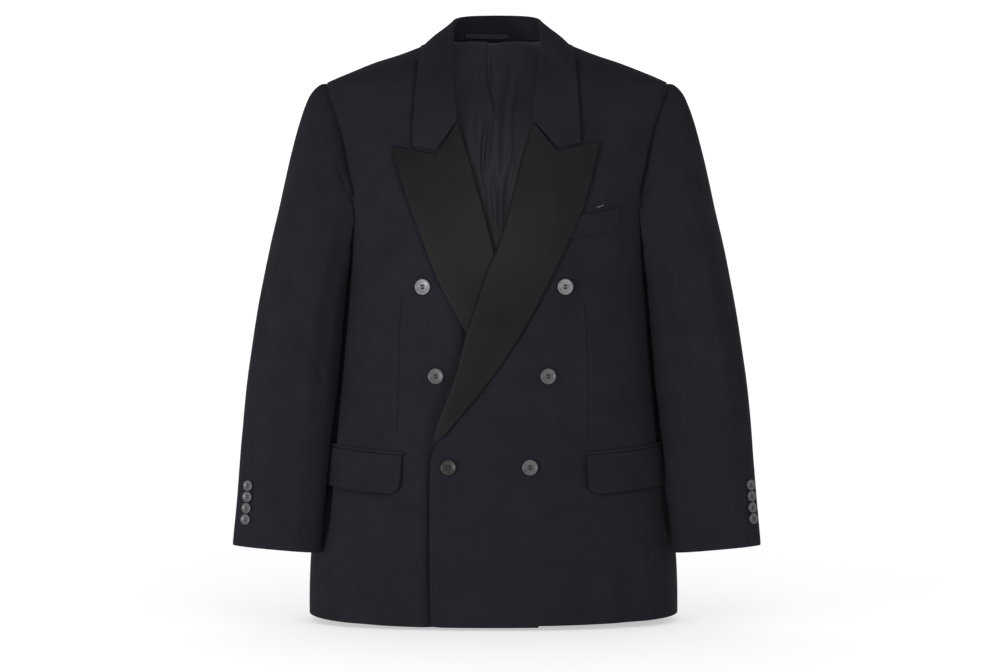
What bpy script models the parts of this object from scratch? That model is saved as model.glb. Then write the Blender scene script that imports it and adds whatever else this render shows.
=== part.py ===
"""Double-breasted tuxedo jacket, worn shape, hollow, in metres with +Z up.

The front faces -Y. The origin lies between the wearer's shoulders, level with the
shoulder seams. "Left" and "right" in the names are the wearer's own.
"""
import math

import bmesh
import bpy
import numpy as np
from mathutils import Matrix, Vector

# ---------------------------------------------------------------- driving sizes
CLOTH = 0.0014            # wall of every cut panel
SEAM_GAP = 0.0004         # room between neighbouring panels
EDGE_GAP = 0.0010         # room where a fold or a sleeve meets an edge that curves
UNDERARM_GAP = 0.0017     # and where the sleeve turns under the arm
UNDERARM_LIFT = 0.0009    # how far the sleeve stands out from the side body there
NECKLINE_GAP = 0.0020     # and where the collar's stand meets the fronts
LAPEL_GAP = 0.0013        # and along a lapel's inner edge
LAYER_GAP = 0.0006        # room between a panel and what lies on it
SQUARENESS = 2.4          # exponent of the body's slices: 2 is an ellipse
OVERLAP_LAYER = 2 * (CLOTH + LAYER_GAP)   # how far the top front lies outside the under one
OVERLAP_FULL_X = 0.064    # the top front lies fully outside up to this x
OVERLAP_END_X = 0.108     # and on the body's own surface from this x on
OVERLAP_HEIGHTS = (-0.205, -0.125)   # it comes back to the surface between these heights
MEAN_RADIUS_SHARE = 0.8   # a slice's mean radius over its half width

HEM_SIDE = -0.7195        # height of the hem at the side seams
HEM_DROP = {1: 0.0055, -1: 0.0080}   # the hem's extra length at the left and right front edge
HEM_RISE_BACK = 0.0020
NECK_HEIGHT = 0.0300      # the back neckline
FRONT_TOP = 0.0272        # where the fronts end at the neck point
SHOULDER_TIP = -0.0310    # the top of the armhole
CHEST_SEAM = -0.1900      # where the side seams meet the armhole
ARMHOLE_FLOOR = -0.2130
SLEEVE_ROOM = 0.0018      # room between a sleeve and the body
SLEEVE_ROOM_FLAP = 0.0044     # and over the pocket flaps
FLAP_ROOM_HEIGHTS = (-0.440, -0.485)   # the room opens between these heights
SLEEVE_RADIUS = 0.045         # mean radius of a sleeve at its seams
SLEEVE_SEAM_ROOM = 0.00032    # half of a sleeve seam's gap
SLEEVE_SEAM_ROOM_TOP = 0.00104    # and in its crowded first rings
SLEEVE_ROOM_GROWTH = 0.0018   # how fast it opens from ring to ring below the seam

LAPEL_ROOT = 0.0030       # in-line strip between a front's edge and its fold
FLAP_CLOTH = 0.0018
JETTING_HEIGHT = 0.0042
JETTING_CLOTH = 0.0010
WELT_CLOTH = 0.0012
LINING_CLOTH = 0.0010
LINING_ROOM = 0.0020      # room between the back and its lining
LINING_BOTTOM = -0.6980
LINING_INSET = 4.0        # degrees that the lining keeps from the side seams
PLEAT_CENTRE = 2.0        # the ease pleat's angle off the centre back
PLEAT_SPREAD = 9.0        # and its half-width, in degrees
PLEAT_DEPTH = 0.0035
LOOP_CLOTH = 0.0012
LOOP_HEIGHTS = (0.0335, 0.0400)
LOOP_START_X = -0.0420
LOOP_END_X = 0.0150
LOOP_BOW = 0.0015         # how far the loop stands off in its middle
LOOP_SEAT = 0.0042        # its ends' room to the stand
STAND_DEPTH = 0.0595      # the neck's own outline at the foot of the stand
STAND_HALF_WIDTH = 0.0660
STAND_ROUNDNESS = 2.2     # exponent of that outline

# Slices of the body, from the hem up to the neck.
BODY_COLUMNS = ("height", "half_width", "front_depth", "back_depth", "centre")
BODY_ROWS = (
    (-0.760, 0.2400, 0.1310, 0.1160, -0.0045),
    (-0.700, 0.2400, 0.1305, 0.1160, -0.0045),
    (-0.650, 0.2385, 0.1300, 0.1155, -0.0045),
    (-0.600, 0.2335, 0.1290, 0.1140, -0.0040),
    (-0.550, 0.2255, 0.1275, 0.1110, -0.0034),
    (-0.500, 0.2212, 0.1255, 0.1065, -0.0028),
    (-0.460, 0.2162, 0.1245, 0.1020, -0.0023),
    (-0.420, 0.2115, 0.1240, 0.1000, -0.0018),
    (-0.380, 0.2075, 0.1250, 0.1020, -0.0013),
    (-0.340, 0.2045, 0.1265, 0.1060, -0.0008),
    (-0.300, 0.2020, 0.1270, 0.1110, -0.0004),
    (-0.260, 0.2010, 0.1265, 0.1150, 0.0000),
    (-0.215, 0.2040, 0.1230, 0.1180, 0.0000),
    (-0.180, 0.2130, 0.1180, 0.1180, 0.0000),
    (-0.140, 0.2245, 0.1100, 0.1160, 0.0000),
    (-0.100, 0.2300, 0.0995, 0.1120, 0.0000),
    (-0.060, 0.2335, 0.0865, 0.1050, 0.0000),
    (-0.037, 0.2315, 0.0765, 0.0990, 0.0000),
    (-0.032, 0.2245, 0.0740, 0.0970, 0.0000),
    (-0.0265, 0.2130, 0.0710, 0.0950, 0.0000),
    (-0.0175, 0.1920, 0.0645, 0.0915, 0.0000),
    (-0.005, 0.1610, 0.0540, 0.0860, 0.0000),
    (0.005, 0.1300, 0.0450, 0.0805, 0.0000),
    (0.018, 0.0970, 0.0320, 0.0715, 0.0000),
    (0.030, 0.0660, 0.0180, 0.0600, 0.0000),
    (0.045, 0.0450, 0.0100, 0.0450, 0.0000),
)
# Long soft folds of the body: angle at the top and at the hem, half-width in degrees,
# heights of the two ends, and depth (below zero is a trough).
# Columns: angle_top, angle_low, spread, top, low, depth.
BODY_FOLD_ROWS = (
    (40.0, 44.0, 9.0, -0.560, -0.790, -0.0022),
    (-41.0, -38.0, 9.0, -0.570, -0.790, -0.0020),
    (26.0, 20.0, 8.0, -0.600, -0.790, 0.0016),
    (152.0, 148.0, 12.0, -0.200, -0.790, -0.0034),
    (-150.0, -153.0, 11.0, -0.240, -0.790, -0.0030),
    (133.0, 130.0, 9.0, -0.360, -0.790, -0.0022),
    (-132.0, -128.0, 9.0, -0.330, -0.790, -0.0024),
)

# Outer edge of a front and of a back: the side seam, the armhole, the shoulder seam.
# Angles run from the front centre (0) through the side (90) to the back centre (180).
EDGE_COLUMNS = ("height", "angle")
FRONT_EDGE_ROWS = (
    (-0.760, 56.5), (-0.650, 57.0), (-0.600, 59.5), (-0.520, 64.0), (-0.420, 68.0),
    (-0.300, 64.0), (-0.220, 60.0), (-0.190, 58.5), (-0.167, 57.3), (-0.133, 57.3),
    (-0.103, 59.0), (-0.072, 62.7), (-0.050, 67.6), (-0.042, 70.5), (-0.037, 72.5),
    (-0.033, 77.8), (-0.0315, 82.7), (-0.031, 90.0),
)
BACK_EDGE_ROWS = (
    (-0.760, 124.0), (-0.600, 122.0), (-0.420, 118.0), (-0.300, 118.5), (-0.220, 119.7),
    (-0.190, 120.0), (-0.150, 121.0), (-0.100, 119.5), (-0.060, 115.0), (-0.045, 110.5),
    (-0.037, 107.0), (-0.033, 102.0), (-0.0315, 97.0), (-0.031, 90.0),
)
# The armhole under the arm, from the front seam round to the back seam.
UNDERARM_COLUMNS = ("angle", "height")
UNDERARM_ROWS = (
    (58.5, -0.1900), (63.0, -0.2000), (71.0, -0.2075), (80.0, -0.2115), (90.0, -0.2130),
    (100.0, -0.2115), (108.5, -0.2075), (116.0, -0.2000), (120.0, -0.1900),
)

# Heights of the rows of points in the body's panels, hem and top left out.
PANEL_LEVELS = (-0.680, -0.635, -0.590, -0.545, -0.500, -0.460, -0.420, -0.380, -0.340,
                -0.300, -0.265, -0.230, -0.205, -0.190, -0.167, -0.133, -0.103, -0.075,
                -0.056, -0.045, -0.0375, -0.0335, -0.0315, -0.0305, -0.0265, -0.0175,
                -0.005, 0.005, 0.014, 0.021)

LINING_LEVELS = (-0.640, -0.570, -0.500, -0.430, -0.360, -0.300, -0.250, -0.200, -0.150,
                 -0.100, -0.060, -0.037, -0.0315, -0.0305, -0.0265, -0.0175, -0.005, 0.010)

# Fold of each lapel on the chest, from the gorge down to the break point, and the
# lapel's outer edge opposite to it. "bend" is how far the notch lies below the
# straight line across, "radius" is the fold's, and "lift" is the stand-off of the edge.
# Columns: fold_x, fold_z, outer_x, outer_z, bend, radius, lift.
LAPEL_ROWS = {
    1: (
        (0.0456, -0.0890, 0.1306, -0.1150, 0.0301, 0.0030, 0.0022),
        (0.0405, -0.1050, 0.1262, -0.1320, 0.0190, 0.0030, 0.0022),
        (0.0330, -0.1290, 0.1195, -0.1600, 0.0100, 0.0030, 0.0022),
        (0.0235, -0.1680, 0.1075, -0.2020, 0.0030, 0.0030, 0.0022),
        (0.0130, -0.2095, 0.0880, -0.2450, 0.0000, 0.0030, 0.0022),
        (0.0005, -0.2505, 0.0655, -0.2925, 0.0000, 0.0030, 0.0022),
        (-0.0150, -0.2867, 0.0400, -0.3410, 0.0000, 0.0030, 0.0020),
        (-0.0276, -0.3269, 0.0150, -0.3820, 0.0000, 0.0030, 0.0018),
        (-0.0390, -0.3620, -0.0085, -0.4160, 0.0000, 0.0028, 0.0016),
        (-0.0500, -0.4050, -0.0300, -0.4440, 0.0000, 0.0026, 0.0014),
        (-0.0627, -0.4410, -0.0520, -0.4700, 0.0000, 0.0024, 0.0012),
        (-0.0735, -0.4700, -0.0655, -0.4865, 0.0000, 0.0022, 0.0010),
        (-0.0795, -0.4920, -0.0712, -0.4975, 0.0000, 0.0020, 0.0010),
    ),
    -1: (
        (-0.0490, -0.0890, -0.1331, -0.1199, 0.0349, 0.0030, 0.0022),
        (-0.0440, -0.1050, -0.1282, -0.1370, 0.0200, 0.0030, 0.0022),
        (-0.0365, -0.1290, -0.1210, -0.1620, 0.0100, 0.0030, 0.0022),
        (-0.0255, -0.1680, -0.1085, -0.1990, 0.0030, 0.0028, 0.0018),
        (-0.0145, -0.2095, -0.0915, -0.2450, 0.0000, 0.0021, 0.0013),
        (-0.0040, -0.2505, -0.0740, -0.2895, 0.0000, 0.0017, 0.0006),
        (0.0060, -0.2900, -0.0530, -0.3310, 0.0000, 0.0017, 0.0006),
        (0.0160, -0.3300, -0.0320, -0.3680, 0.0000, 0.0017, 0.0006),
        (0.0260, -0.3700, -0.0110, -0.4020, 0.0000, 0.0017, 0.0006),
        (0.0360, -0.4100, 0.0110, -0.4340, 0.0000, 0.0017, 0.0006),
        (0.0450, -0.4460, 0.0320, -0.4630, 0.0000, 0.0017, 0.0006),
        (0.0500, -0.4680, 0.0415, -0.4750, 0.0000, 0.0017, 0.0006),
    ),
}
NOTCH_SHARE = {1: 0.341, -1: 0.304}     # how far across its top the notch lies

# Front edges below the break point.
# Columns: height, x.
LOW_EDGE_ROWS = {
    1: ((-0.7600, -0.0802), (-0.6500, -0.0838), (-0.5600, -0.0840), (-0.5200, -0.0830)),
    -1: ((-0.7600, 0.0515), (-0.6500, 0.0540), (-0.5600, 0.0560), (-0.5100, 0.0565)),
}

# Half of the collar from the gorge (share 0) to the centre back (share 1): the neck
# seam, the fold and the outer edge. On the chest (y = None) the points lie on the front.
# "way" is the plan direction in which the fall lies, in degrees from straight ahead.
# Columns: share, seam_x, seam_y, seam_z, fold_x, fold_y, fold_z, outer_x, outer_y,
# outer_z, way, bend.
COLLAR_END_ROWS = {
    1: (
        (0.00, 0.0500, None, -0.0925, 0.0462, None, -0.0882, 0.1062, None, -0.1167, 10, 0.0212),
        (0.10, 0.0555, None, -0.0655, 0.0485, None, -0.0610, 0.1055, None, -0.0950, 12, 0.0130),
        (0.20, 0.0605, None, -0.0385, 0.0515, None, -0.0300, 0.1040, None, -0.0660, 16, 0.0050),
    ),
    -1: (
        (0.00, 0.0534, None, -0.0925, 0.0496, None, -0.0882, 0.1062, None, -0.1203, 10, 0.0240),
        (0.10, 0.0580, None, -0.0655, 0.0515, None, -0.0610, 0.1060, None, -0.0970, 12, 0.0150),
        (0.20, 0.0625, None, -0.0385, 0.0545, None, -0.0300, 0.1045, None, -0.0670, 16, 0.0055),
    ),
}
COLLAR_ROWS = (
    (0.30, 0.0645, None, -0.0130, 0.0550, None, 0.0000, 0.1025, None, -0.0360, 25, 0.0),
    (0.42, 0.0658, None, 0.0120, 0.0560, -0.0340, 0.0270, 0.1005, None, -0.0080, 50, 0.0),
    (0.52, 0.0658, -0.0060, 0.0308, 0.0560, -0.0050, 0.0455, 0.0990, -0.0200, 0.0130, 75, 0.0),
    (0.62, 0.0610, 0.0240, 0.0310, 0.0540, 0.0200, 0.0555, 0.0940, 0.0370, 0.0155, 100, 0.0),
    (0.75, 0.0470, 0.0430, 0.0304, 0.0440, 0.0420, 0.0620, 0.0720, 0.0590, 0.0170, 130, 0.0),
    (0.88, 0.0250, 0.0555, 0.0304, 0.0240, 0.0545, 0.0650, 0.0380, 0.0700, 0.0190, 158, 0.0),
    (1.00, 0.0000, 0.0595, 0.0304, 0.0000, 0.0580, 0.0658, 0.0000, 0.0735, 0.0200, 180, 0.0),
)
COLLAR_NOTCH_SHARE = {1: 0.475, -1: 0.446}
COLLAR_RADIUS = 0.0030
COLLAR_LIFT = 0.0022
SHOULDER_ROOM = 0.0016    # the fall's further stand-off over the shoulder
SHOULDER_ROOM_HEIGHTS = (-0.030, 0.000)
FALL_BULGE = 0.0022       # how far the fall bows out between its fold and its edge

# Rings of a sleeve from the shoulder to the cuff, with x counted away from the centre.
# "own_shape" is 0 where the ring follows the armhole and 1 where it keeps its own form.
# Columns: outer_x, outer_z, inner_x, inner_z, centre_y, half_depth, own_shape.
SLEEVE_ROWS = (
    (0.2220, -0.0310, 0.2030, -0.2130, 0.0000, 0.0700, 0.00),
    (0.2315, -0.0345, 0.2035, -0.2155, 0.0000, 0.0715, 0.05),
    (0.2410, -0.0440, 0.2010, -0.2180, -0.0010, 0.0720, 0.15),
    (0.2495, -0.0620, 0.1890, -0.2210, -0.0020, 0.0725, 0.30),
    (0.2585, -0.0890, 0.1800, -0.2250, -0.0045, 0.0725, 0.50),
    (0.2670, -0.1220, 0.1750, -0.2310, -0.0080, 0.0715, 0.70),
    (0.2755, -0.1600, 0.1730, -0.2400, -0.0115, 0.0700, 0.88),
    (0.2840, -0.2000, 0.1750, -0.2530, -0.0150, 0.0675, 1.00),
    (0.2930, -0.2400, 0.1800, -0.2720, -0.0200, 0.0645, 1.00),
    (0.3010, -0.2800, 0.1875, -0.2980, -0.0250, 0.0615, 1.00),
    (0.3090, -0.3250, 0.1935, -0.3350, -0.0305, 0.0580, 1.00),
    (0.3162, -0.3750, 0.1990, -0.3810, -0.0360, 0.0530, 1.00),
    (0.3225, -0.4250, 0.2045, -0.4310, -0.0425, 0.0475, 1.00),
    (0.3270, -0.4750, 0.2105, -0.4815, -0.0475, 0.0420, 1.00),
    (0.3305, -0.5250, 0.2165, -0.5325, -0.0530, 0.0365, 1.00),
    (0.3340, -0.5760, 0.2210, -0.5845, -0.0585, 0.0315, 1.00),
    (0.3383, -0.6280, 0.2255, -0.6380, -0.0635, 0.0275, 1.00),
)
SLEEVE_SQUARENESS = 2.3
UPPER_COLUMNS_COUNT = 12      # faces round the upper sleeve
UNDER_CROWDING = 1.35         # draws the under sleeve's faces closer under the arm
UNDER_COLUMNS_COUNT = 9       # and round the under sleeve
# Where a sleeve's two seams run, in degrees round the ring from its outer point,
# positive towards the front.
SLEEVE_SEAM_COLUMNS = ("ring", "hindarm", "inseam")
SLEEVE_SEAM_ROWS = (
    (0.0, -55.0, 150.0), (6.0, -40.0, 155.0), (10.0, -20.0, 162.0), (13.0, 0.0, 170.0),
    (16.0, 12.0, 180.0),
)
# Long soft folds down a sleeve: ring angle at the top and at the cuff, half-width,
# first and last ring, and depth (below zero is a trough).
# Columns: angle_top, angle_cuff, spread, first, last, depth.
SLEEVE_FOLD_ROWS = (
    (75.0, 95.0, 22.0, 5.5, 16.5, -0.0030),
    (118.0, 128.0, 16.0, 4.5, 13.0, -0.0022),
    (30.0, 52.0, 20.0, 7.0, 14.0, -0.0018),
    (-60.0, -75.0, 24.0, 6.0, 16.5, -0.0028),
    (-120.0, -125.0, 20.0, 5.0, 14.0, -0.0020),
)

# Hip pocket: the flap between two body angles, the slant of its mouth, and its depth.
FLAP_START = 27.5
FLAP_END = 82.0
FLAP_TOP_START = -0.5112
FLAP_TOP_END = -0.4995
FLAP_DEPTH = 0.0492
FLAP_CORNER = 0.012           # radius of the front lower corner
FLAP_REACH = 0.15             # the body's radius where that corner lies
FLAP_CROWDING = 1.25          # draws the flap's faces closer at that corner
JETTING_OVERHANG = 0.8        # degrees by which the jetting runs past the flap

# Breast welt: its inner and its outer end on the left front.
# Columns: x, top, bottom.
WELT_ROWS = ((0.0860, -0.2132, -0.2398), (0.1557, -0.1980, -0.2262))

# Show buttons. Columns: name, x, height, and the front that each one is sewn on.
BUTTON_ROWS = (
    ("button_right_top", -0.0929, -0.2992, -1),
    ("button_left_top", 0.0854, -0.2992, 1),
    ("button_right_middle", -0.0765, -0.4116, -1),
    ("button_left_middle", 0.0640, -0.4116, 1),
    ("button_fastened", -0.0602, -0.5263, 1),
    ("button_left_low", 0.0414, -0.5263, 1),
)
BUTTON_SEAT = 0.0003
BUTTON_SAG = 0.0004      # the cloth's curve under a button's flat back
# A button's outline from its back to its dish. Columns: radius, height.
FRONT_BUTTON_PROFILE = ((0.0088, 0.0000), (0.0100, 0.0012), (0.0098, 0.0030), (0.0080, 0.0034),
                        (0.0066, 0.0026))
CUFF_BUTTON_PROFILE = ((0.0060, 0.0000), (0.0068, 0.0012), (0.0062, 0.0026))
FRONT_BUTTON_SIDES = 14
CUFF_BUTTON_SIDES = 11
BUTTON_HOLE_SIDES = 4
FRONT_BUTTON_HOLES = (0.0027, 0.0010)    # distance from the middle, and radius
CUFF_BUTTON_HOLES = (0.0020, 0.0008)
CUFF_BUTTON_HEIGHTS = (-0.5506, -0.5648, -0.5790, -0.5932)
CUFF_BUTTON_ANGLE = {1: 36.0, -1: 47.0}

# Finishes. Columns: name, base colour, roughness, metallic.
FINISH_ROWS = (
    ("wool", (0.0180, 0.0170, 0.0215), 0.92, 0.0),
    ("satin", (0.0200, 0.0200, 0.0210), 0.38, 0.0),
    ("lining", (0.0260, 0.0255, 0.0300), 0.48, 0.0),
    ("button", (0.1200, 0.1180, 0.1200), 0.35, 0.0),
)


# ---------------------------------------------------------------- smooth tables
class Track:
    """A smooth curve through a short table, with no overshoot between its rows."""

    def __init__(self, stops, values):
        order = np.argsort(stops)
        self.stops = np.asarray(stops, float)[order]
        self.values = np.asarray(values, float)[order]
        self.slopes = self._slopes()

    def _slopes(self):
        step = np.diff(self.stops)
        rise = np.diff(self.values) / step
        slopes = np.zeros(len(self.stops))
        slopes[0] = rise[0]
        slopes[-1] = rise[-1]
        for i in range(1, len(rise)):
            if rise[i - 1] * rise[i] > 0:
                left = 2 * step[i] + step[i - 1]
                right = step[i] + 2 * step[i - 1]
                slopes[i] = (left + right) / (left / rise[i - 1] + right / rise[i])
        return slopes

    def __call__(self, at):
        at = min(max(at, self.stops[0]), self.stops[-1])
        i = int(np.searchsorted(self.stops, at) - 1)
        i = min(max(i, 0), len(self.stops) - 2)
        step = self.stops[i + 1] - self.stops[i]
        s = (at - self.stops[i]) / step
        before = (1 + 2 * s) * (1 - s) ** 2 * self.values[i]
        after = s * s * (3 - 2 * s) * self.values[i + 1]
        lean_before = s * (1 - s) ** 2 * step * self.slopes[i]
        lean_after = s * s * (s - 1) * step * self.slopes[i + 1]
        return before + after + lean_before + lean_after


def tracks(columns, rows):
    """One Track for each column of a table, against its first column."""
    stops = [row[0] for row in rows]
    return {name: Track(stops, [row[k] for row in rows])
            for k, name in enumerate(columns) if k > 0}


def ramp(value, start, end):
    """0 before start, 1 after end, smooth between."""
    s = min(max((value - start) / (end - start), 0.0), 1.0)
    return s * s * (3 - 2 * s)


def mix(a, b, share):
    return a + (b - a) * share


def unit(vector):
    return vector / np.linalg.norm(vector)


def soft_bump(distance, spread):
    """1 at the middle of a fold, 0 from its spread on."""
    s = min(abs(distance) / spread, 1.0)
    return (1 - s * s) ** 2


BODY = tracks(BODY_COLUMNS, BODY_ROWS)
FRONT_EDGE = tracks(EDGE_COLUMNS, FRONT_EDGE_ROWS)["angle"]
BACK_EDGE = tracks(EDGE_COLUMNS, BACK_EDGE_ROWS)["angle"]
UNDERARM = tracks(UNDERARM_COLUMNS, UNDERARM_ROWS)["height"]


# ---------------------------------------------------------------- the body's surface
def drape(angle, height):
    """Depth of the body's long folds at a place."""
    degrees = math.degrees(angle)
    total = 0.0
    for top_angle, low_angle, spread, top, low, depth in BODY_FOLD_ROWS:
        along = (top - height) / (top - low)
        if 0 < along < 1:
            centre = mix(top_angle, low_angle, along)
            turn = (degrees - centre + 180) % 360 - 180
            total += depth * soft_bump(turn, spread) * ramp(along, 0.0, 0.45)
    return total


def body_base(angle, height):
    """A point on the body's surface; the angle is in radians, 0 at the front centre."""
    wide = BODY["half_width"](height)
    deep = BODY["front_depth"](height) if math.cos(angle) > 0 else BODY["back_depth"](height)
    across = math.copysign(abs(math.sin(angle)) ** (2 / SQUARENESS), math.sin(angle))
    along = math.copysign(abs(math.cos(angle)) ** (2 / SQUARENESS), math.cos(angle))
    reach = 1 + drape(angle, height) / deep
    return np.array((BODY["centre"](height) + wide * across * reach,
                     -deep * along * reach, height))


def body_normal(angle, height):
    """The outward direction of the body's surface."""
    turn = 0.004
    rise = 0.0006
    across = body_base(angle + turn, height) - body_base(angle - turn, height)
    up = body_base(angle, height + rise) - body_base(angle, height - rise)
    return unit(np.cross(across, up))


def on_body(angle, height, out=0.0):
    """A point moved out from the body's surface."""
    return body_base(angle, height) + out * body_normal(angle, height)


def angle_of(x, height):
    """The angle at which the front of the body's slice has this x."""
    share = (x - BODY["centre"](height)) / BODY["half_width"](height)
    share = min(max(share, -0.9999), 0.9999)
    return math.asin(math.copysign(abs(share) ** (SQUARENESS / 2), share))


def on_front(x, height, out=0.0):
    """A point on the front of the body, found by its x and height."""
    return on_body(angle_of(x, height), height, out)


def body_level(point):
    """Below zero inside the body's surface, above it outside."""
    deep = BODY["front_depth"](point[2]) if point[1] < 0 else BODY["back_depth"](point[2])
    across = abs(point[0] - BODY["centre"](point[2])) / BODY["half_width"](point[2])
    along = abs(point[1]) / deep
    return (across ** SQUARENESS + along ** SQUARENESS) ** (1 / SQUARENESS) - 1


def push_clear(point, room):
    """Move a point out until it lies at least this far from the body's surface."""
    step = 0.0004
    for _ in range(5):
        slope = np.array([(body_level(point + step * axis) - body_level(point - step * axis))
                          for axis in np.eye(3)]) / (2 * step)
        steepness = np.linalg.norm(slope)
        gap = body_level(point) / steepness
        if gap >= room:
            break
        point = point + slope / steepness * (room - gap)
    return point


def layer(side, x, height):
    """How far a front lies outside the body's surface: the left one lies on top."""
    if side < 0:
        return 0.0
    over_chest = 1 - ramp(x, OVERLAP_FULL_X, OVERLAP_END_X)
    below_neck = 1 - ramp(height, *OVERLAP_HEIGHTS)
    return OVERLAP_LAYER * over_chest * below_neck


# ---------------------------------------------------------------- meshes from grids
def finish(name):
    """The material of this name, made when it is first asked for."""
    made = bpy.data.materials.get(name)
    if made:
        return made
    colour, roughness, metallic = next(row[1:] for row in FINISH_ROWS if row[0] == name)
    made = bpy.data.materials.new(name)
    made.use_nodes = True
    shader = made.node_tree.nodes["Principled BSDF"]
    shader.inputs["Base Color"].default_value = (*colour, 1.0)
    shader.inputs["Roughness"].default_value = roughness
    shader.inputs["Metallic"].default_value = metallic
    return made


def add_object(name, mesh, material):
    """Put a finished mesh in the scene under its node's name."""
    mesh.materials.append(finish(material))
    mesh.shade_smooth()
    mesh.set_sharp_from_angle(angle=math.radians(40))
    made = bpy.data.objects.new(name, mesh)
    bpy.context.scene.collection.objects.link(made)
    return made


def wall(name, face, back, material, closed=False):
    """A closed wall between two equal grids of points, open or closed across its rows."""
    rows, columns = face.shape[:2]
    points = np.concatenate((face.reshape(-1, 3), back.reshape(-1, 3)))
    half = rows * columns

    def at(i, j, side):
        return side * half + i * columns + j % columns

    faces = []
    spans = columns if closed else columns - 1
    for i in range(rows - 1):
        for j in range(spans):
            quad = (at(i, j, 0), at(i, j + 1, 0), at(i + 1, j + 1, 0), at(i + 1, j, 0))
            faces.append(quad)
            faces.append(tuple(corner + half for corner in reversed(quad)))
    for i, flip in ((0, True), (rows - 1, False)):
        for j in range(spans):
            rim = (at(i, j, 0), at(i, j + 1, 0), at(i, j + 1, 1), at(i, j, 1))
            faces.append(tuple(reversed(rim)) if flip else rim)
    if not closed:
        for j, flip in ((0, False), (columns - 1, True)):
            for i in range(rows - 1):
                rim = (at(i, j, 0), at(i + 1, j, 0), at(i + 1, j, 1), at(i, j, 1))
                faces.append(tuple(reversed(rim)) if flip else rim)
    mesh = bpy.data.meshes.new(name)
    mesh.from_pydata([tuple(point) for point in points], [], faces)
    shell = bmesh.new()
    shell.from_mesh(mesh)
    if shell.calc_volume(signed=True) < 0:
        bmesh.ops.reverse_faces(shell, faces=shell.faces)
    shell.to_mesh(mesh)
    shell.free()
    return add_object(name, mesh, material)


def grid_normals(grid, towards):
    """Directions square to a grid of points, on the side that the second grid names."""
    along = np.gradient(grid, axis=0)
    across = np.gradient(grid, axis=1)
    normals = np.cross(along, across)
    normals /= np.linalg.norm(normals, axis=2, keepdims=True)
    if np.sum(normals * towards) < 0:
        normals = -normals
    return normals


# ---------------------------------------------------------------- lapels and collar
def lapel_line(side, row):
    """Fold, notch-side middle and outer edge of one line across a lapel, in x and z."""
    fold = np.array((row[0], row[1]))
    outer = np.array((row[2], row[3]))
    middle = mix(fold, outer, NOTCH_SHARE[side]) - np.array((0.0, row[4]))
    return fold, middle, outer


def across_lapel(line, reach):
    """The x and z at a distance from the fold along a bent line across the lapel."""
    fold, middle, outer = line
    first = np.linalg.norm(middle - fold)
    if reach <= first:
        return mix(fold, middle, reach / first)
    return mix(middle, outer, (reach - first) / np.linalg.norm(outer - middle))


def roll_path(radius):
    """Distance from the fold and height over its foot, round the fold, in arc steps."""
    steps = (0, 45, 90, 135, 180)
    return [(radius * (1 - math.sin(math.radians(a))), radius * (1 - math.cos(math.radians(a))))
            for a in steps]


def front_edge_stops(side):
    """Height and x along a front's own edge: the low edge, the roll and the neckline."""
    stops = [tuple(row) for row in LOW_EDGE_ROWS[side]]
    for row in LAPEL_ROWS[side]:
        line = lapel_line(side, row)
        x, height = across_lapel(line, row[5] + LAPEL_ROOT + LAPEL_GAP)
        stops.append((height, x))
    for row in (*COLLAR_END_ROWS[side][1:], *COLLAR_ROWS[:2]):
        stops.append((row[3], side * (row[1] + NECKLINE_GAP)))
    stops.append((FRONT_TOP + 0.0010, side * (COLLAR_ROWS[1][1] + NECKLINE_GAP)))
    return stops


FRONT_INNER = {side: Track(*zip(*front_edge_stops(side))) for side in (1, -1)}


# Places across a lapel and across the collar's fall, in shares of their widths, besides
# the notch; and the first column of points past the fold in each.
LAPEL_SHARES = (0.17, 0.52, 0.68, 0.84, 1.0)
FALL_SHARES = (0.16, 0.32, 0.65, 0.83, 1.0)
LAPEL_FACE_START = 6
COLLAR_FALL_START = 8


def lapel(side, name):
    """A lapel: a strip in line with the front's edge, the fold, and the turned-back face."""
    grid = []
    for row in LAPEL_ROWS[side]:
        line = lapel_line(side, row)
        radius, lift = row[5], row[6]
        width = np.linalg.norm(line[1] - line[0]) + np.linalg.norm(line[2] - line[1])
        foot = -CLOTH
        path = [(radius + LAPEL_ROOT, foot)]
        path += [(reach, foot + rise) for reach, rise in roll_path(radius)]
        for share in (LAPEL_SHARES[0], NOTCH_SHARE[side], *LAPEL_SHARES[1:]):
            level = mix(foot + 2 * radius, lift + CLOTH, ramp(share, 0.0, 1.0))
            path.append((mix(radius, width, share), level))
        points = []
        for reach, level in path:
            x, height = across_lapel(line, reach)
            points.append(on_front(x, height, layer(side, x, height) + level))
        grid.append(points)
    face = np.array(grid)
    towards = np.zeros_like(face)
    towards[:, LAPEL_FACE_START:, 1] = -1.0
    back = face - CLOTH * grid_normals(face, towards)
    return wall(name, face, back, "satin")


def chest_or_given(side, x, y, height, out):
    """A collar point: on the chest where the table gives no y, else where it says."""
    if y is None:
        return on_front(side * x, height, out)
    return np.array((side * x, y, height))


def collar_tracks(side):
    """The collar's seam, fold and outer edge as smooth curves from gorge to centre back."""
    stops, seams, folds, outers, ways, bends = [], [], [], [], [], []
    for row in (*COLLAR_END_ROWS[side], *COLLAR_ROWS):
        share, sx, sy, sz, fx, fy, fz, ox, oy, oz, way, bend = row
        stops.append(share)
        level = layer(side, side * sx, sz)
        seams.append(chest_or_given(side, sx, sy, sz, level - CLOTH))
        folds.append(chest_or_given(side, fx, fy, fz, level - CLOTH + COLLAR_RADIUS))
        outers.append(chest_or_given(side, ox, oy, oz, level + COLLAR_LIFT + CLOTH))
        ways.append(way)
        bends.append(bend)
    made = {}
    for key, points in (("seam", seams), ("fold", folds), ("outer", outers)):
        made[key] = [Track(stops, [point[k] for point in points]) for k in range(3)]
    made["way"] = Track(stops, ways)
    made["bend"] = Track(stops, bends)
    return made


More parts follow.
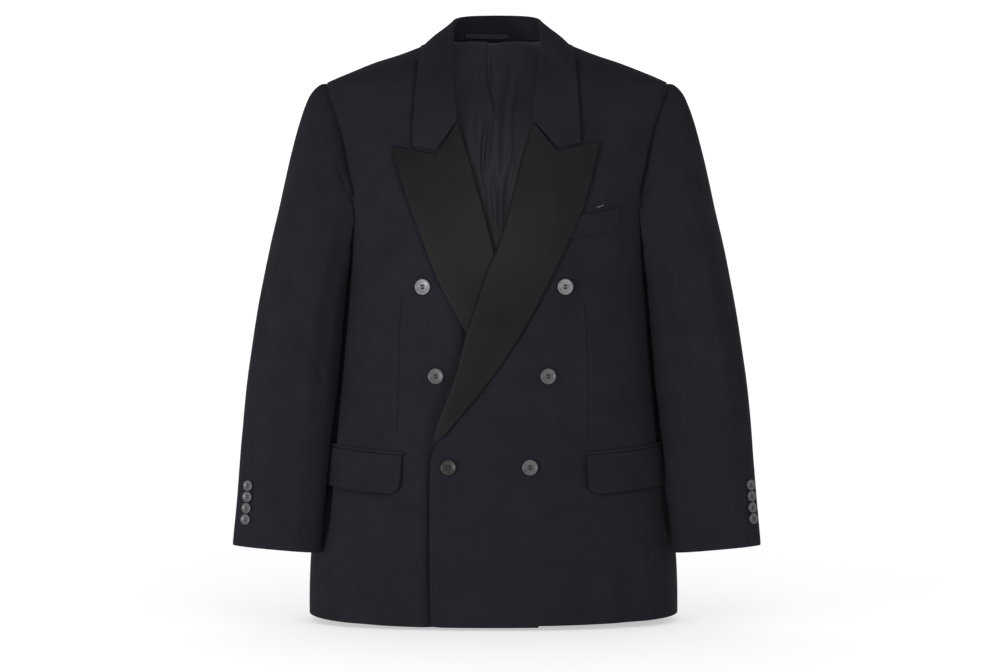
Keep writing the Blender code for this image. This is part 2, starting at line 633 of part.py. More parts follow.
def collar_section(side, curves, share):
    """One line of points across the collar: stand, fold and fall."""
    seam, fold, outer = (np.array([track(share) for track in curves[key]])
                         for key in ("seam", "fold", "outer"))
    way = math.radians(curves["way"](share))
    out = np.array((side * math.sin(way), -math.cos(way), 0.0))
    up = unit(fold - (seam + COLLAR_RADIUS * out))
    out = unit(out - np.dot(out, up) * up)
    centre = fold - COLLAR_RADIUS * up
    points = [seam, mix(seam, centre - COLLAR_RADIUS * out, 0.5)]
    for turn in (0, 45, 90, 135, 180):
        a = math.radians(turn)
        points.append(centre + COLLAR_RADIUS * (math.sin(a) * up - math.cos(a) * out))
    start = points[-1]
    notch = COLLAR_NOTCH_SHARE[side]
    for part in (*FALL_SHARES[:2], notch, *FALL_SHARES[2:]):
        dip = part / notch if part < notch else (1 - part) / (1 - notch)
        point = mix(start, outer, part) - np.array((0.0, 0.0, curves["bend"](share) * dip))
        point = point + FALL_BULGE * math.sin(math.pi * part) * out
        level = layer(side, point[0], point[2])
        room = mix(2 * COLLAR_RADIUS - CLOTH, COLLAR_LIFT + CLOTH, ramp(part, 0.0, 1.0))
        room += SHOULDER_ROOM * ramp(point[2], *SHOULDER_ROOM_HEIGHTS)
        if point[2] < NECK_HEIGHT:
            point = push_clear(point, level + room)
        points.append(point)
    return points


COLLAR_STATIONS = (0.0, 0.05, 0.10, 0.16, 0.22, 0.29, 0.36, 0.43, 0.50, 0.57, 0.64, 0.72, 0.81,
                   0.90)


def collar():
    """Stand and fall round the neck, from the right gorge to the left one."""
    right = collar_tracks(-1)
    left = collar_tracks(1)
    grid = [collar_section(-1, right, share) for share in COLLAR_STATIONS]
    grid.append(collar_section(1, left, 1.0))
    grid += [collar_section(1, left, share) for share in reversed(COLLAR_STATIONS)]
    face = np.array(grid)
    towards = np.zeros_like(face)
    towards[:, COLLAR_FALL_START:] = face[:, COLLAR_FALL_START:]
    back = face - CLOTH * grid_normals(face, towards)
    return wall("collar", face, back, "wool")


# ---------------------------------------------------------------- body panels
def hem_height(side, angle):
    """The hem's height round the body."""
    facing = math.cos(angle)
    if facing > 0:
        return HEM_SIDE - HEM_DROP[side] * facing
    return HEM_SIDE - HEM_RISE_BACK * facing


def panel(name, places, material="wool", thickness=CLOTH):
    """A wall on the body's surface from rows of (angle, height, out)."""
    face = np.array([[on_body(*place) for place in row] for row in places])
    back = np.array([[on_body(angle, height, out - thickness) for angle, height, out in row]
                     for row in places])
    return wall(name, face, back, material)


def seam_angle(height):
    """The angle that half a seam's gap takes at this height."""
    return 0.5 * SEAM_GAP / (MEAN_RADIUS_SHARE * BODY["half_width"](height))


def front(side, name, columns=12):
    """A front from its edge, roll and neckline out to side seam, armhole and shoulder."""
    rows = []
    levels = [HEM_SIDE, *PANEL_LEVELS, FRONT_TOP]
    for i, level in enumerate(levels):
        row = []
        for j in range(columns + 1):
            share = j / columns
            start = angle_of(FRONT_INNER[side](level), level)
            end = side * (math.radians(FRONT_EDGE(level)) - seam_angle(level))
            angle = mix(start, end, share)
            height = hem_height(side, angle) if i == 0 else level
            x = body_base(angle, height)[0]
            row.append((angle, height, layer(side, x, height)))
        rows.append(row)
    return panel(name, rows)


def back(side, name, columns=9):
    """Half of the back, from the centre seam out to side seam, armhole and shoulder."""
    rows = []
    levels = [HEM_SIDE, *PANEL_LEVELS, NECK_HEIGHT]
    for i, level in enumerate(levels):
        row = []
        for j in range(columns + 1):
            start = math.pi - seam_angle(level)
            end = math.radians(BACK_EDGE(level)) + seam_angle(level)
            angle = side * mix(start, end, j / columns)
            height = hem_height(side, angle) if i == 0 else level
            row.append((angle, height, 0.0))
        rows.append(row)
    return panel(name, rows)


def side_body(side, name, columns=9):
    """The panel under the arm, between front and back, up to the floor of the armhole."""
    rows = []
    levels = [HEM_SIDE] + [level for level in PANEL_LEVELS if level < -0.23] + [None]
    for i, level in enumerate(levels):
        row = []
        for j in range(columns + 1):
            share = j / columns
            at = CHEST_SEAM if level is None else level
            start = math.radians(FRONT_EDGE(at)) + seam_angle(at)
            end = math.radians(BACK_EDGE(at)) - seam_angle(at)
            angle = mix(start, end, share)
            if level is None:
                height = UNDERARM(math.degrees(angle))
            else:
                height = hem_height(side, side * angle) if i == 0 else level
            row.append((side * angle, height, 0.0))
        rows.append(row)
    return panel(name, rows)


def back_lining(name, columns=16):
    """The lining of the back with its ease pleat, just inside the back panels."""
    levels = [LINING_BOTTOM, *LINING_LEVELS]
    rows = []
    for level in (*levels, NECK_HEIGHT - 0.0008):
        row = []
        for j in range(columns + 1):
            edge = math.radians(BACK_EDGE(level) + LINING_INSET)
            angle = mix(edge, 2 * math.pi - edge, j / columns)
            from_centre = math.degrees(angle) - 180 - PLEAT_CENTRE
            rise = PLEAT_DEPTH * soft_bump(from_centre, PLEAT_SPREAD)
            fade = 1 - 0.7 * ramp(-level, 0.10, 0.45)
            row.append((angle, level, -CLOTH - LINING_ROOM - rise * fade))
        rows.append(row)
    return panel(name, rows, "lining", LINING_CLOTH)


# ---------------------------------------------------------------- sleeves
def armhole_stops():
    """Points of the armhole's edge, from the shoulder tip forward and right round."""
    heights = [SHOULDER_TIP + drop for drop in (0.0, -0.0005, -0.002, -0.006, -0.014)]
    heights += list(np.linspace(-0.060, CHEST_SEAM, 8))
    front_side = [(min(FRONT_EDGE(h), 90.0), h) for h in heights]
    floor = [(angle, height) for angle, height in UNDERARM_ROWS[1:-1]]
    back_side = [(max(BACK_EDGE(h), 90.0), h) for h in reversed(heights)]
    return front_side + floor + back_side[:-1]


def armhole_point(side, turn):
    """Edge point and its body normal at a ring angle (0 at the tip, 180 at the floor)."""
    stops = armhole_stops()
    points = np.array([body_base(side * math.radians(angle), height) for angle, height in stops])
    ring_angles = []
    for point in points:
        down = (point[2] - SHOULDER_TIP) / (ARMHOLE_FLOOR - SHOULDER_TIP)
        ring = math.degrees(math.acos(min(max(1 - 2 * down, -1.0), 1.0)))
        ring_angles.append(ring if point[1] <= 1e-9 else 360 - ring)
    order = np.argsort(ring_angles)
    ring_angles = np.array(ring_angles)[order]
    angles = np.array([stops[k][0] for k in order])
    heights = np.array([stops[k][1] for k in order])
    ring_angles = np.append(ring_angles, 360.0)
    angles = np.append(angles, angles[0])
    heights = np.append(heights, heights[0])
    angle = math.radians(np.interp(turn % 360, ring_angles, angles))
    height = float(np.interp(turn % 360, ring_angles, heights))
    return body_base(side * angle, height), body_normal(side * angle, height)


def ring_shape(turn):
    """Outward and forward shares of a ring at this angle."""
    a = math.radians(turn)
    power = 2 / SLEEVE_SQUARENESS
    return (math.copysign(abs(math.cos(a)) ** power, math.cos(a)),
            math.copysign(abs(math.sin(a)) ** power, math.sin(a)))


def sleeve_fold(ring, turn):
    """Depth of the sleeve's long folds at a ring and ring angle."""
    total = 0.0
    for top, cuff, spread, first, last, depth in SLEEVE_FOLD_ROWS:
        along = (ring - first) / (last - first)
        if 0 < along < 1:
            centre = mix(top, cuff, along)
            away = (turn - centre + 180) % 360 - 180
            total += depth * soft_bump(away, spread) * math.sin(math.pi * along) ** 0.7
    return total


SLEEVE = [Track(range(len(SLEEVE_ROWS)), [row[k] for row in SLEEVE_ROWS]) for k in range(7)]


def sleeve_point(side, ring, turn):
    """A point on a sleeve; ring may lie between two rows of the table."""
    outer_x, outer_z, inner_x, inner_z, centre_y, half_depth, own = (t(ring) for t in SLEEVE)
    outer = np.array((side * outer_x, 0.0, outer_z))
    inner = np.array((side * inner_x + (1 - own) * BODY["centre"](inner_z), 0.0, inner_z))
    across, ahead = ring_shape(turn)
    centre = mix(outer, inner, 0.5) + np.array((0.0, centre_y, 0.0))
    reach = 1 + sleeve_fold(ring, turn) / half_depth
    shaped = centre + reach * (across * (outer - inner) / 2 - ahead * half_depth * np.eye(3)[1])
    wanted = mix(SLEEVE_ROOM, SLEEVE_ROOM_FLAP, ramp(shaped[2], *FLAP_ROOM_HEIGHTS))
    if own >= 1:
        return push_clear(shaped, wanted)
    seam, _ = armhole_point(side, turn)
    first = [SLEEVE[k](0) for k in range(6)]
    tip = np.array((side * first[0], 0.0, first[1]))
    floor = np.array((side * first[2] + BODY["centre"](first[3]), 0.0, first[3]))
    start = mix(tip, floor, 0.5) + across * (tip - floor) / 2 - ahead * first[5] * np.eye(3)[1]
    moved = seam + (shaped - start)
    point = mix(moved, shaped, own)
    room = min(wanted, SLEEVE_ROOM_GROWTH * ring)
    return push_clear(point, room) if ring > 0 else point


def sleeve_hub(side, ring):
    """The middle of a ring."""
    outer_x, outer_z, inner_x, inner_z, centre_y = (SLEEVE[k](ring) for k in range(5))
    return np.array((side * (outer_x + inner_x) / 2, centre_y, (outer_z + inner_z) / 2))


def sleeve_normal(side, ring, turn):
    """A direction square to a sleeve's surface."""
    low = min(ring + 0.3, len(SLEEVE_ROWS) - 1)
    along = sleeve_point(side, low, turn) - sleeve_point(side, ring - 0.3, turn)
    across = sleeve_point(side, ring, turn + 4) - sleeve_point(side, ring, turn - 4)
    return unit(np.cross(along, across))


def armhole_ring(side, turns):
    """The sleeve's first ring: the armhole's edge, a seam's gap away from the panels."""
    points, normals = [], []
    for turn in turns:
        seam, normal = armhole_point(side, turn)
        after, _ = armhole_point(side, turn + 3)
        before, _ = armhole_point(side, turn - 3)
        away = side * unit(np.cross(normal, unit(after - before)))
        low = ramp(abs(turn % 360 - 180), 75.0, 50.0)
        points.append(seam + away * mix(EDGE_GAP, UNDERARM_GAP, low) + normal * UNDERARM_LIFT * low)
        normals.append(unit(normal - low * away))
    return np.array(points), np.array(normals)


def sleeve_piece(side, name, upper, columns):
    """The upper or the under sleeve, from the armhole to the cuff."""
    seams = tracks(SLEEVE_SEAM_COLUMNS, SLEEVE_SEAM_ROWS)
    rings = list(range(len(SLEEVE_ROWS)))
    all_turns = []
    for ring in rings:
        start, end = seams["hindarm"](ring), seams["inseam"](ring)
        if not upper:
            start, end = end, start + 360
        room = SLEEVE_SEAM_ROOM_TOP if ring < 3 else SLEEVE_SEAM_ROOM
        gap = math.degrees(room / SLEEVE_RADIUS)
        crowd = 1.0 if upper else UNDER_CROWDING
        all_turns.append([mix(start + gap, end - gap, (j / columns) ** crowd)
                          for j in range(columns + 1)])
    first_row, first_normals = armhole_ring(side, all_turns[0])
    face = [first_row]
    normals = [first_normals]
    for ring in rings[1:]:
        hub = sleeve_hub(side, ring)
        points, ways = [], []
        for turn in all_turns[ring]:
            point = sleeve_point(side, ring, turn)
            way = sleeve_normal(side, ring, turn)
            points.append(point)
            ways.append(way if np.dot(way, point - hub) > 0 else -way)
        face.append(points)
        normals.append(ways)
    face = np.array(face)
    return wall(name, face, face - CLOTH * np.array(normals), "wool")


# ---------------------------------------------------------------- pockets and loop
def flap_top(degrees):
    """Height of the pocket's mouth at a body angle."""
    return mix(FLAP_TOP_START, FLAP_TOP_END, (degrees - FLAP_START) / (FLAP_END - FLAP_START))


def pocket_out(side, angle, height, room):
    """Stand-off on a front for a piece that lies on it."""
    x = body_base(angle, height)[0]
    return layer(side, x, height) + room


def flap(side, name, columns=14, rows_count=6):
    """A hip pocket flap with its front lower corner rounded."""
    rows = []
    for i in range(rows_count + 1):
        row = []
        for j in range(columns + 1):
            degrees = mix(FLAP_START, FLAP_END, (j / columns) ** FLAP_CROWDING)
            from_edge = math.radians(degrees - FLAP_START) * FLAP_REACH
            drop = FLAP_DEPTH
            if from_edge < FLAP_CORNER:
                inset = FLAP_CORNER - from_edge
                drop -= FLAP_CORNER - math.sqrt(FLAP_CORNER ** 2 - inset ** 2)
            height = flap_top(degrees) - SEAM_GAP - (i / rows_count) * drop
            angle = side * math.radians(degrees)
            row.append((angle, height, pocket_out(side, angle, height, LAYER_GAP + FLAP_CLOTH)))
        rows.append(row)
    return panel(name, rows, "wool", FLAP_CLOTH)


def jetting(side, name, columns=12):
    """The narrow bound edge above a hip pocket flap."""
    rows = []
    for rise in (0.0, JETTING_HEIGHT):
        row = []
        for j in range(columns + 1):
            degrees = mix(FLAP_START - JETTING_OVERHANG, FLAP_END + JETTING_OVERHANG, j / columns)
            angle = side * math.radians(degrees)
            height = flap_top(degrees) + rise
            room = LAYER_GAP + JETTING_CLOTH
            row.append((angle, height, pocket_out(side, angle, height, room)))
        rows.append(row)
    return panel(name, rows, "wool", JETTING_CLOTH)


def breast_welt(name, columns=7):
    """The slanted breast welt on the left front, its inner end under the lapel."""
    inner, outer = WELT_ROWS
    rows = []
    for share in (0.0, 1 / 3, 2 / 3, 1.0):
        row = []
        for j in range(columns + 1):
            along = j / columns
            x = mix(inner[0], outer[0], along)
            top = mix(inner[1], outer[1], along)
            bottom = mix(inner[2], outer[2], along)
            height = mix(bottom, top, share)
            out = layer(1, x, height) + SEAM_GAP + WELT_CLOTH
            row.append((angle_of(x, height), height, out))
        rows.append(row)
    return panel(name, rows, "wool", WELT_CLOTH)


def hanger_loop(name, columns=8):
    """The flat loop across the inside of the stand, for a hook."""
    face, inside = [], []
    for height in LOOP_HEIGHTS:
        front_row, back_row = [], []
        for j in range(columns + 1):
            x = mix(LOOP_START_X, LOOP_END_X, j / columns)
            bow = LOOP_BOW * math.sin(math.pi * j / columns)
            across = abs(x / STAND_HALF_WIDTH) ** STAND_ROUNDNESS
            depth = STAND_DEPTH * (1 - across) ** (1 / STAND_ROUNDNESS)
            y = depth - LOOP_SEAT - LOOP_CLOTH - bow
            front_row.append((x, y, height))
            back_row.append((x, y + LOOP_CLOTH, height))
        face.append(front_row)
        inside.append(back_row)
    return wall(name, np.array(face), np.array(inside), "lining")


# ---------------------------------------------------------------- buttons
def button_mesh(name, profile, sides, holes):
    """A turned button with four holes, its back at z = 0."""
    hole_place, hole_radius = holes
    disc = bmesh.new()
    rings = []
    for radius, height in profile:
        ring = []
        for k in range(sides):
            a = 2 * math.pi * k / sides
            ring.append(disc.verts.new((radius * math.cos(a), radius * math.sin(a), height)))
        rings.append(ring)
    for low, high in zip(rings, rings[1:]):
        for k in range(sides):
            after = (k + 1) % sides
            disc.faces.new((low[k], low[after], high[after], high[k]))
    disc.faces.new(list(reversed(rings[0])))
    disc.faces.new(rings[-1])
    mesh = bpy.data.meshes.new(name)
    disc.to_mesh(mesh)
    disc.free()
    blank = bpy.data.objects.new(name + "_blank", mesh)
    bpy.context.scene.collection.objects.link(blank)
    drills = []
    for k in range(4):
        a = math.radians(45 + 90 * k)
        bpy.ops.mesh.primitive_cylinder_add(
            vertices=BUTTON_HOLE_SIDES, radius=hole_radius, depth=0.02,
            location=(hole_place * math.cos(a), hole_place * math.sin(a), 0.0))
        drill = bpy.context.object
        drill.hide_render = True
        drill.display_type = "WIRE"
        cut = blank.modifiers.new("hole", "BOOLEAN")
        cut.operation = "DIFFERENCE"
        cut.solver = "EXACT"
        cut.object = drill
        drills.append(drill)
    bpy.context.view_layer.update()
    depsgraph = bpy.context.evaluated_depsgraph_get()
    pierced = bpy.data.meshes.new_from_object(blank.evaluated_get(depsgraph))
    for used in (*drills, blank):
        bpy.data.objects.remove(used)
    pierced.materials.clear()
    pierced.materials.append(finish("button"))
    pierced.shade_smooth()
    pierced.set_sharp_from_angle(angle=math.radians(35))
    return pierced


def sew_on(name, mesh, place, normal):
    """Put a button at a place, its back towards the cloth."""
    made = bpy.data.objects.new(name, mesh)
    bpy.context.scene.collection.objects.link(made)
    turn = Vector(normal).to_track_quat("Z", "Y")
    made.matrix_world = Matrix.Translation(Vector(place)) @ turn.to_matrix().to_4x4()
    return made


def front_buttons():
    """The six show buttons."""
    mesh = button_mesh("front_button", FRONT_BUTTON_PROFILE, FRONT_BUTTON_SIDES, FRONT_BUTTON_HOLES)
    for name, x, height, side in BUTTON_ROWS:
        angle = angle_of(x, height)
        normal = body_normal(angle, height)
        seat = layer(side, x, height) + BUTTON_SEAT + BUTTON_SAG
        sew_on(name, mesh, on_body(angle, height, seat), normal)


def cuff_buttons():
    """Four buttons in a row at each cuff, beside the hindarm seam."""
    mesh = button_mesh("cuff_button", CUFF_BUTTON_PROFILE, CUFF_BUTTON_SIDES, CUFF_BUTTON_HOLES)
    rings = [row[1] for row in SLEEVE_ROWS]
    for side, word in ((1, "left"), (-1, "right")):
        for k, height in enumerate(CUFF_BUTTON_HEIGHTS):
            ring = float(np.interp(-height, [-z for z in rings], range(len(rings))))
            place = sleeve_point(side, ring, CUFF_BUTTON_ANGLE[side])
            normal = sleeve_normal(side, ring, CUFF_BUTTON_ANGLE[side])
            if normal[1] > 0:
                normal = -normal
            place = place + normal * (BUTTON_SEAT + BUTTON_SAG)
            sew_on(f"cuff_button_{word}_{k + 1}", mesh, place, normal)


# ---------------------------------------------------------------- the jacket
def clear_scene():
    for old in list(bpy.data.objects):
        bpy.data.objects.remove(old)


def build():
    clear_scene()
    for side, word in ((1, "left"), (-1, "right")):
        front(side, f"front_{word}")
        side_body(side, f"side_{word}")
        back(side, f"back_{word}")
        lapel(side, f"lapel_{word}")
        sleeve_piece(side, f"sleeve_upper_{word}", True, UPPER_COLUMNS_COUNT)
        sleeve_piece(side, f"sleeve_under_{word}", False, UNDER_COLUMNS_COUNT)
        flap(side, f"flap_{word}")
        jetting(side, f"jetting_{word}")
    collar()
    back_lining("back_lining")
    breast_welt("breast_welt")
    hanger_loop("hanger_loop")
    front_buttons()
    cuff_buttons()


build()
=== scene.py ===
"""Looks of the double-breasted tuxedo jacket: cloth, trims, light, ground and camera.

Metres, +Z up, the front faces -Y. "Left" and "right" in the names are the wearer's own.
"""

import math

import bmesh
import bpy
import numpy as np
from mathutils import Matrix, Vector


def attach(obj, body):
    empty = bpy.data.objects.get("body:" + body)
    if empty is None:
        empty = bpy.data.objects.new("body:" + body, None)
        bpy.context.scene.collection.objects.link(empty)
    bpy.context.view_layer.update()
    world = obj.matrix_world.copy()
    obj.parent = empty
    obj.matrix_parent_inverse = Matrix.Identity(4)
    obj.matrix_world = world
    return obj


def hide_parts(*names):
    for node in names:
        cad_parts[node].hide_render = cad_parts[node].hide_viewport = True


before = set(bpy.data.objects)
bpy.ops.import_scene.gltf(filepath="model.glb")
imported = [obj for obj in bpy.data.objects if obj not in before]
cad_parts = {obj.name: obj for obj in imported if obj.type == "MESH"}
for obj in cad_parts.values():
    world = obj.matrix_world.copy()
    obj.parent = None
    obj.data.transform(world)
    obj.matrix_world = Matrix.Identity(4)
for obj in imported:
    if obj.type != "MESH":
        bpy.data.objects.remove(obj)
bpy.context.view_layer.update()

SIDES = ((1, "left"), (-1, "right"))

# ---------------------------------------------------------------- driving sizes
CLOTH = 0.0014            # wall of every cut panel
SEAM_GAP = 0.0004         # room between neighbouring pieces that aren't sewn
NECKLINE_GAP = 0.0020     # room where the collar's stand meets the fronts
LAPEL_GAP = 0.0013        # and along a lapel's inner edge
LAYER_GAP = 0.0006        # room between a panel and what lies on it
SQUARENESS = 2.4          # exponent of the body's slices: 2 is an ellipse
OVERLAP_LAYER = 2 * (CLOTH + LAYER_GAP)   # how far the top front lies outside the under one
OVERLAP_FULL_X = 0.064    # the top front lies fully outside up to this x
OVERLAP_END_X = 0.108     # and on the body's own surface from this x on
OVERLAP_HEIGHTS = (-0.205, -0.125)   # it comes back to the surface between these heights
MEAN_RADIUS_SHARE = 0.8   # a slice's mean radius over its half width

HEM_SIDE = -0.7195        # height of the hem at the side seams
HEM_DROP = {1: 0.0055, -1: 0.0080}   # the hem's extra length at the left and right front edge
HEM_RISE_BACK = 0.0020
NECK_HEIGHT = 0.0300      # the back neckline
FRONT_TOP = 0.0272        # where the fronts end at the neck point
SHOULDER_TIP = -0.0310    # the top of the armhole
CHEST_SEAM = -0.1900      # where the side seams meet the armhole
ARMHOLE_FLOOR = -0.2130
SLEEVE_ROOM = 0.0018      # room between a sleeve and the body
SLEEVE_ROOM_FLAP = 0.0044     # and over the pocket flaps
FLAP_ROOM_HEIGHTS = (-0.440, -0.485)   # the room opens between these heights
SLEEVE_RADIUS = 0.045         # mean radius of a sleeve at its seams
SLEEVE_ROOM_GROWTH = 0.0018   # how fast it opens from ring to ring below the seam

LAPEL_ROOT = 0.0030       # in-line strip between a front's edge and its fold
FLAP_CLOTH = 0.0018
JETTING_HEIGHT = 0.0042
JETTING_CLOTH = 0.0010
WELT_CLOTH = 0.0012
LINING_CLOTH = 0.0010
LINING_ROOM = 0.0020      # room between the back and its lining
LINING_BOTTOM = -0.6980
LINING_INSET = 4.0        # degrees that the lining keeps from the side seams
PLEAT_CENTRE = 2.0        # the ease pleat's angle off the centre back
PLEAT_SPREAD = 9.0        # and its half-width, in degrees
PLEAT_DEPTH = 0.0035
LOOP_CLOTH = 0.0012
LOOP_HEIGHTS = (0.0335, 0.0400)
LOOP_START_X = -0.0420
LOOP_END_X = 0.0150
LOOP_BOW = 0.0015         # how far the loop stands off in its middle
LOOP_SEAT = 0.0042        # its ends' room to the stand
STAND_DEPTH = 0.0595      # the neck's own outline at the foot of the stand
STAND_HALF_WIDTH = 0.0660
STAND_ROUNDNESS = 2.2     # exponent of that outline

# Slices of the body, from the hem up to the neck.
BODY_COLUMNS = ("height", "half_width", "front_depth", "back_depth", "centre")
BODY_ROWS = (
    (-0.76, 0.24, 0.131, 0.116, -0.0045),
    (-0.7, 0.24, 0.1305, 0.116, -0.0045),
    (-0.65, 0.2385, 0.13, 0.1155, -0.0045),
    (-0.6, 0.2335, 0.129, 0.114, -0.004),
    (-0.55, 0.2255, 0.1275, 0.111, -0.0034),
    (-0.5, 0.2212, 0.1255, 0.1065, -0.0028),
    (-0.46, 0.2162, 0.1245, 0.102, -0.0023),
    (-0.42, 0.2115, 0.124, 0.1, -0.0018),
    (-0.38, 0.2075, 0.125, 0.102, -0.0013),
    (-0.34, 0.2045, 0.1265, 0.106, -0.0008),
    (-0.3, 0.202, 0.127, 0.111, -0.0004),
    (-0.26, 0.201, 0.1265, 0.115, 0.0),
    (-0.215, 0.204, 0.123, 0.118, 0.0),
    (-0.18, 0.213, 0.118, 0.118, 0.0),
    (-0.14, 0.2245, 0.11, 0.116, 0.0),
    (-0.1, 0.23, 0.0995, 0.112, 0.0),
    (-0.06, 0.2335, 0.0865, 0.105, 0.0),
    (-0.037, 0.2315, 0.0765, 0.099, 0.0),
    (-0.032, 0.2245, 0.074, 0.097, 0.0),
    (-0.0265, 0.213, 0.071, 0.095, 0.0),
    (-0.0175, 0.192, 0.0645, 0.0915, 0.0),
    (-0.005, 0.161, 0.054, 0.086, 0.0),
    (0.005, 0.13, 0.045, 0.0805, 0.0),
    (0.018, 0.097, 0.032, 0.0715, 0.0),
    (0.03, 0.066, 0.018, 0.06, 0.0),
    (0.045, 0.045, 0.01, 0.045, 0.0),
)
# Long soft folds of the body: angle at the top and at the hem, half-width in degrees,
# heights of the two ends, and depth (below zero is a trough).
# Columns: angle_top, angle_low, spread, top, low, depth.
BODY_FOLD_ROWS = (
    (40.0, 44.0, 9.0, -0.56, -0.79, -0.0022),
    (-41.0, -38.0, 9.0, -0.57, -0.79, -0.002),
    (26.0, 20.0, 8.0, -0.6, -0.79, 0.0016),
    (152.0, 148.0, 12.0, -0.2, -0.79, -0.0034),
    (-150.0, -153.0, 11.0, -0.24, -0.79, -0.003),
    (133.0, 130.0, 9.0, -0.36, -0.79, -0.0022),
    (-132.0, -128.0, 9.0, -0.33, -0.79, -0.0024),
)

# Outer edge of a front and of a back: the side seam, the armhole, the shoulder seam.
# Angles run from the front centre (0) through the side (90) to the back centre (180).
EDGE_COLUMNS = ("height", "angle")
FRONT_EDGE_ROWS = (
    (-0.76, 56.5), (-0.65, 57.0), (-0.6, 59.5), (-0.52, 64.0), (-0.42, 68.0),
    (-0.3, 64.0), (-0.22, 60.0), (-0.19, 58.5), (-0.167, 57.3), (-0.133, 57.3),
    (-0.103, 59.0), (-0.072, 62.7), (-0.05, 67.6), (-0.042, 70.5), (-0.037, 72.5),
    (-0.033, 77.8), (-0.0315, 82.7), (-0.031, 90.0),
)
BACK_EDGE_ROWS = (
    (-0.76, 124.0), (-0.6, 122.0), (-0.42, 118.0), (-0.3, 118.5), (-0.22, 119.7),
    (-0.19, 120.0), (-0.15, 121.0), (-0.1, 119.5), (-0.06, 115.0), (-0.045, 110.5),
    (-0.037, 107.0), (-0.033, 102.0), (-0.0315, 97.0), (-0.031, 90.0),
)
# The armhole under the arm, from the front seam round to the back seam.
UNDERARM_COLUMNS = ("angle", "height")
UNDERARM_ROWS = (
    (58.5, -0.19), (63.0, -0.2), (71.0, -0.2075), (80.0, -0.2115), (90.0, -0.213),
    (100.0, -0.2115), (108.5, -0.2075), (116.0, -0.2), (120.0, -0.19),
)

# Heights of the rows of points in the body's panels, hem and top left out.
PANEL_LEVELS = (-0.680, -0.635, -0.590, -0.545, -0.500, -0.460, -0.420, -0.380, -0.340,
                -0.300, -0.265, -0.230, -0.205, -0.190, -0.167, -0.133, -0.103, -0.075,
                -0.056, -0.045, -0.0375, -0.0335, -0.0315, -0.0305, -0.0265, -0.0175,
                -0.005, 0.005, 0.014, 0.021)

LINING_LEVELS = (-0.640, -0.570, -0.500, -0.430, -0.360, -0.300, -0.250, -0.200, -0.150,
                 -0.100, -0.060, -0.037, -0.0315, -0.0305, -0.0265, -0.0175, -0.005, 0.010)

# Fold of each lapel on the chest, from the gorge down to the break point, and the
# lapel's outer edge opposite to it. "bend" is how far the notch lies below the
# straight line across, "radius" is the fold's, and "lift" is the stand-off of the edge.
# Columns: fold_x, fold_z, outer_x, outer_z, bend, radius, lift.
LAPEL_ROWS = {
    1: (
        (0.0456, -0.089, 0.1306, -0.115, 0.0301, 0.003, 0.0022),
        (0.0405, -0.105, 0.1262, -0.132, 0.019, 0.003, 0.0022),
        (0.033, -0.129, 0.1195, -0.16, 0.01, 0.003, 0.0022),
        (0.0235, -0.168, 0.1075, -0.202, 0.003, 0.003, 0.0022),
        (0.013, -0.2095, 0.088, -0.245, 0.0, 0.003, 0.0022),
        (0.0005, -0.2505, 0.0655, -0.2925, 0.0, 0.003, 0.0022),
        (-0.015, -0.2867, 0.04, -0.341, 0.0, 0.003, 0.002),
        (-0.0276, -0.3269, 0.015, -0.382, 0.0, 0.003, 0.0018),
        (-0.039, -0.362, -0.0085, -0.416, 0.0, 0.0028, 0.0016),
        (-0.05, -0.405, -0.03, -0.444, 0.0, 0.0026, 0.0014),
        (-0.0627, -0.441, -0.052, -0.47, 0.0, 0.0024, 0.0012),
        (-0.0735, -0.47, -0.0655, -0.4865, 0.0, 0.0022, 0.001),
        (-0.0795, -0.492, -0.0712, -0.4975, 0.0, 0.002, 0.001),
    ),
    -1: (
        (-0.049, -0.089, -0.1331, -0.1199, 0.0349, 0.003, 0.0022),
        (-0.044, -0.105, -0.1282, -0.137, 0.02, 0.003, 0.0022),
        (-0.0365, -0.129, -0.121, -0.162, 0.01, 0.003, 0.0022),
        (-0.0255, -0.168, -0.1085, -0.199, 0.003, 0.0028, 0.0018),
        (-0.0145, -0.2095, -0.0915, -0.245, 0.0, 0.0021, 0.0013),
        (-0.004, -0.2505, -0.074, -0.2895, 0.0, 0.0017, 0.0006),
        (0.006, -0.29, -0.053, -0.331, 0.0, 0.0017, 0.0006),
        (0.016, -0.33, -0.032, -0.368, 0.0, 0.0017, 0.0006),
        (0.026, -0.37, -0.011, -0.402, 0.0, 0.0017, 0.0006),
        (0.036, -0.41, 0.011, -0.434, 0.0, 0.0017, 0.0006),
        (0.045, -0.446, 0.032, -0.463, 0.0, 0.0017, 0.0006),
        (0.05, -0.468, 0.0415, -0.475, 0.0, 0.0017, 0.0006),
    ),
}
NOTCH_SHARE = {1: 0.341, -1: 0.304}     # how far across its top the notch lies

# Front edges below the break point.
# Columns: height, x.
LOW_EDGE_ROWS = {
    1: ((-0.7600, -0.0802), (-0.6500, -0.0838), (-0.5600, -0.0840), (-0.5200, -0.0830)),
    -1: ((-0.7600, 0.0515), (-0.6500, 0.0540), (-0.5600, 0.0560), (-0.5100, 0.0565)),
}

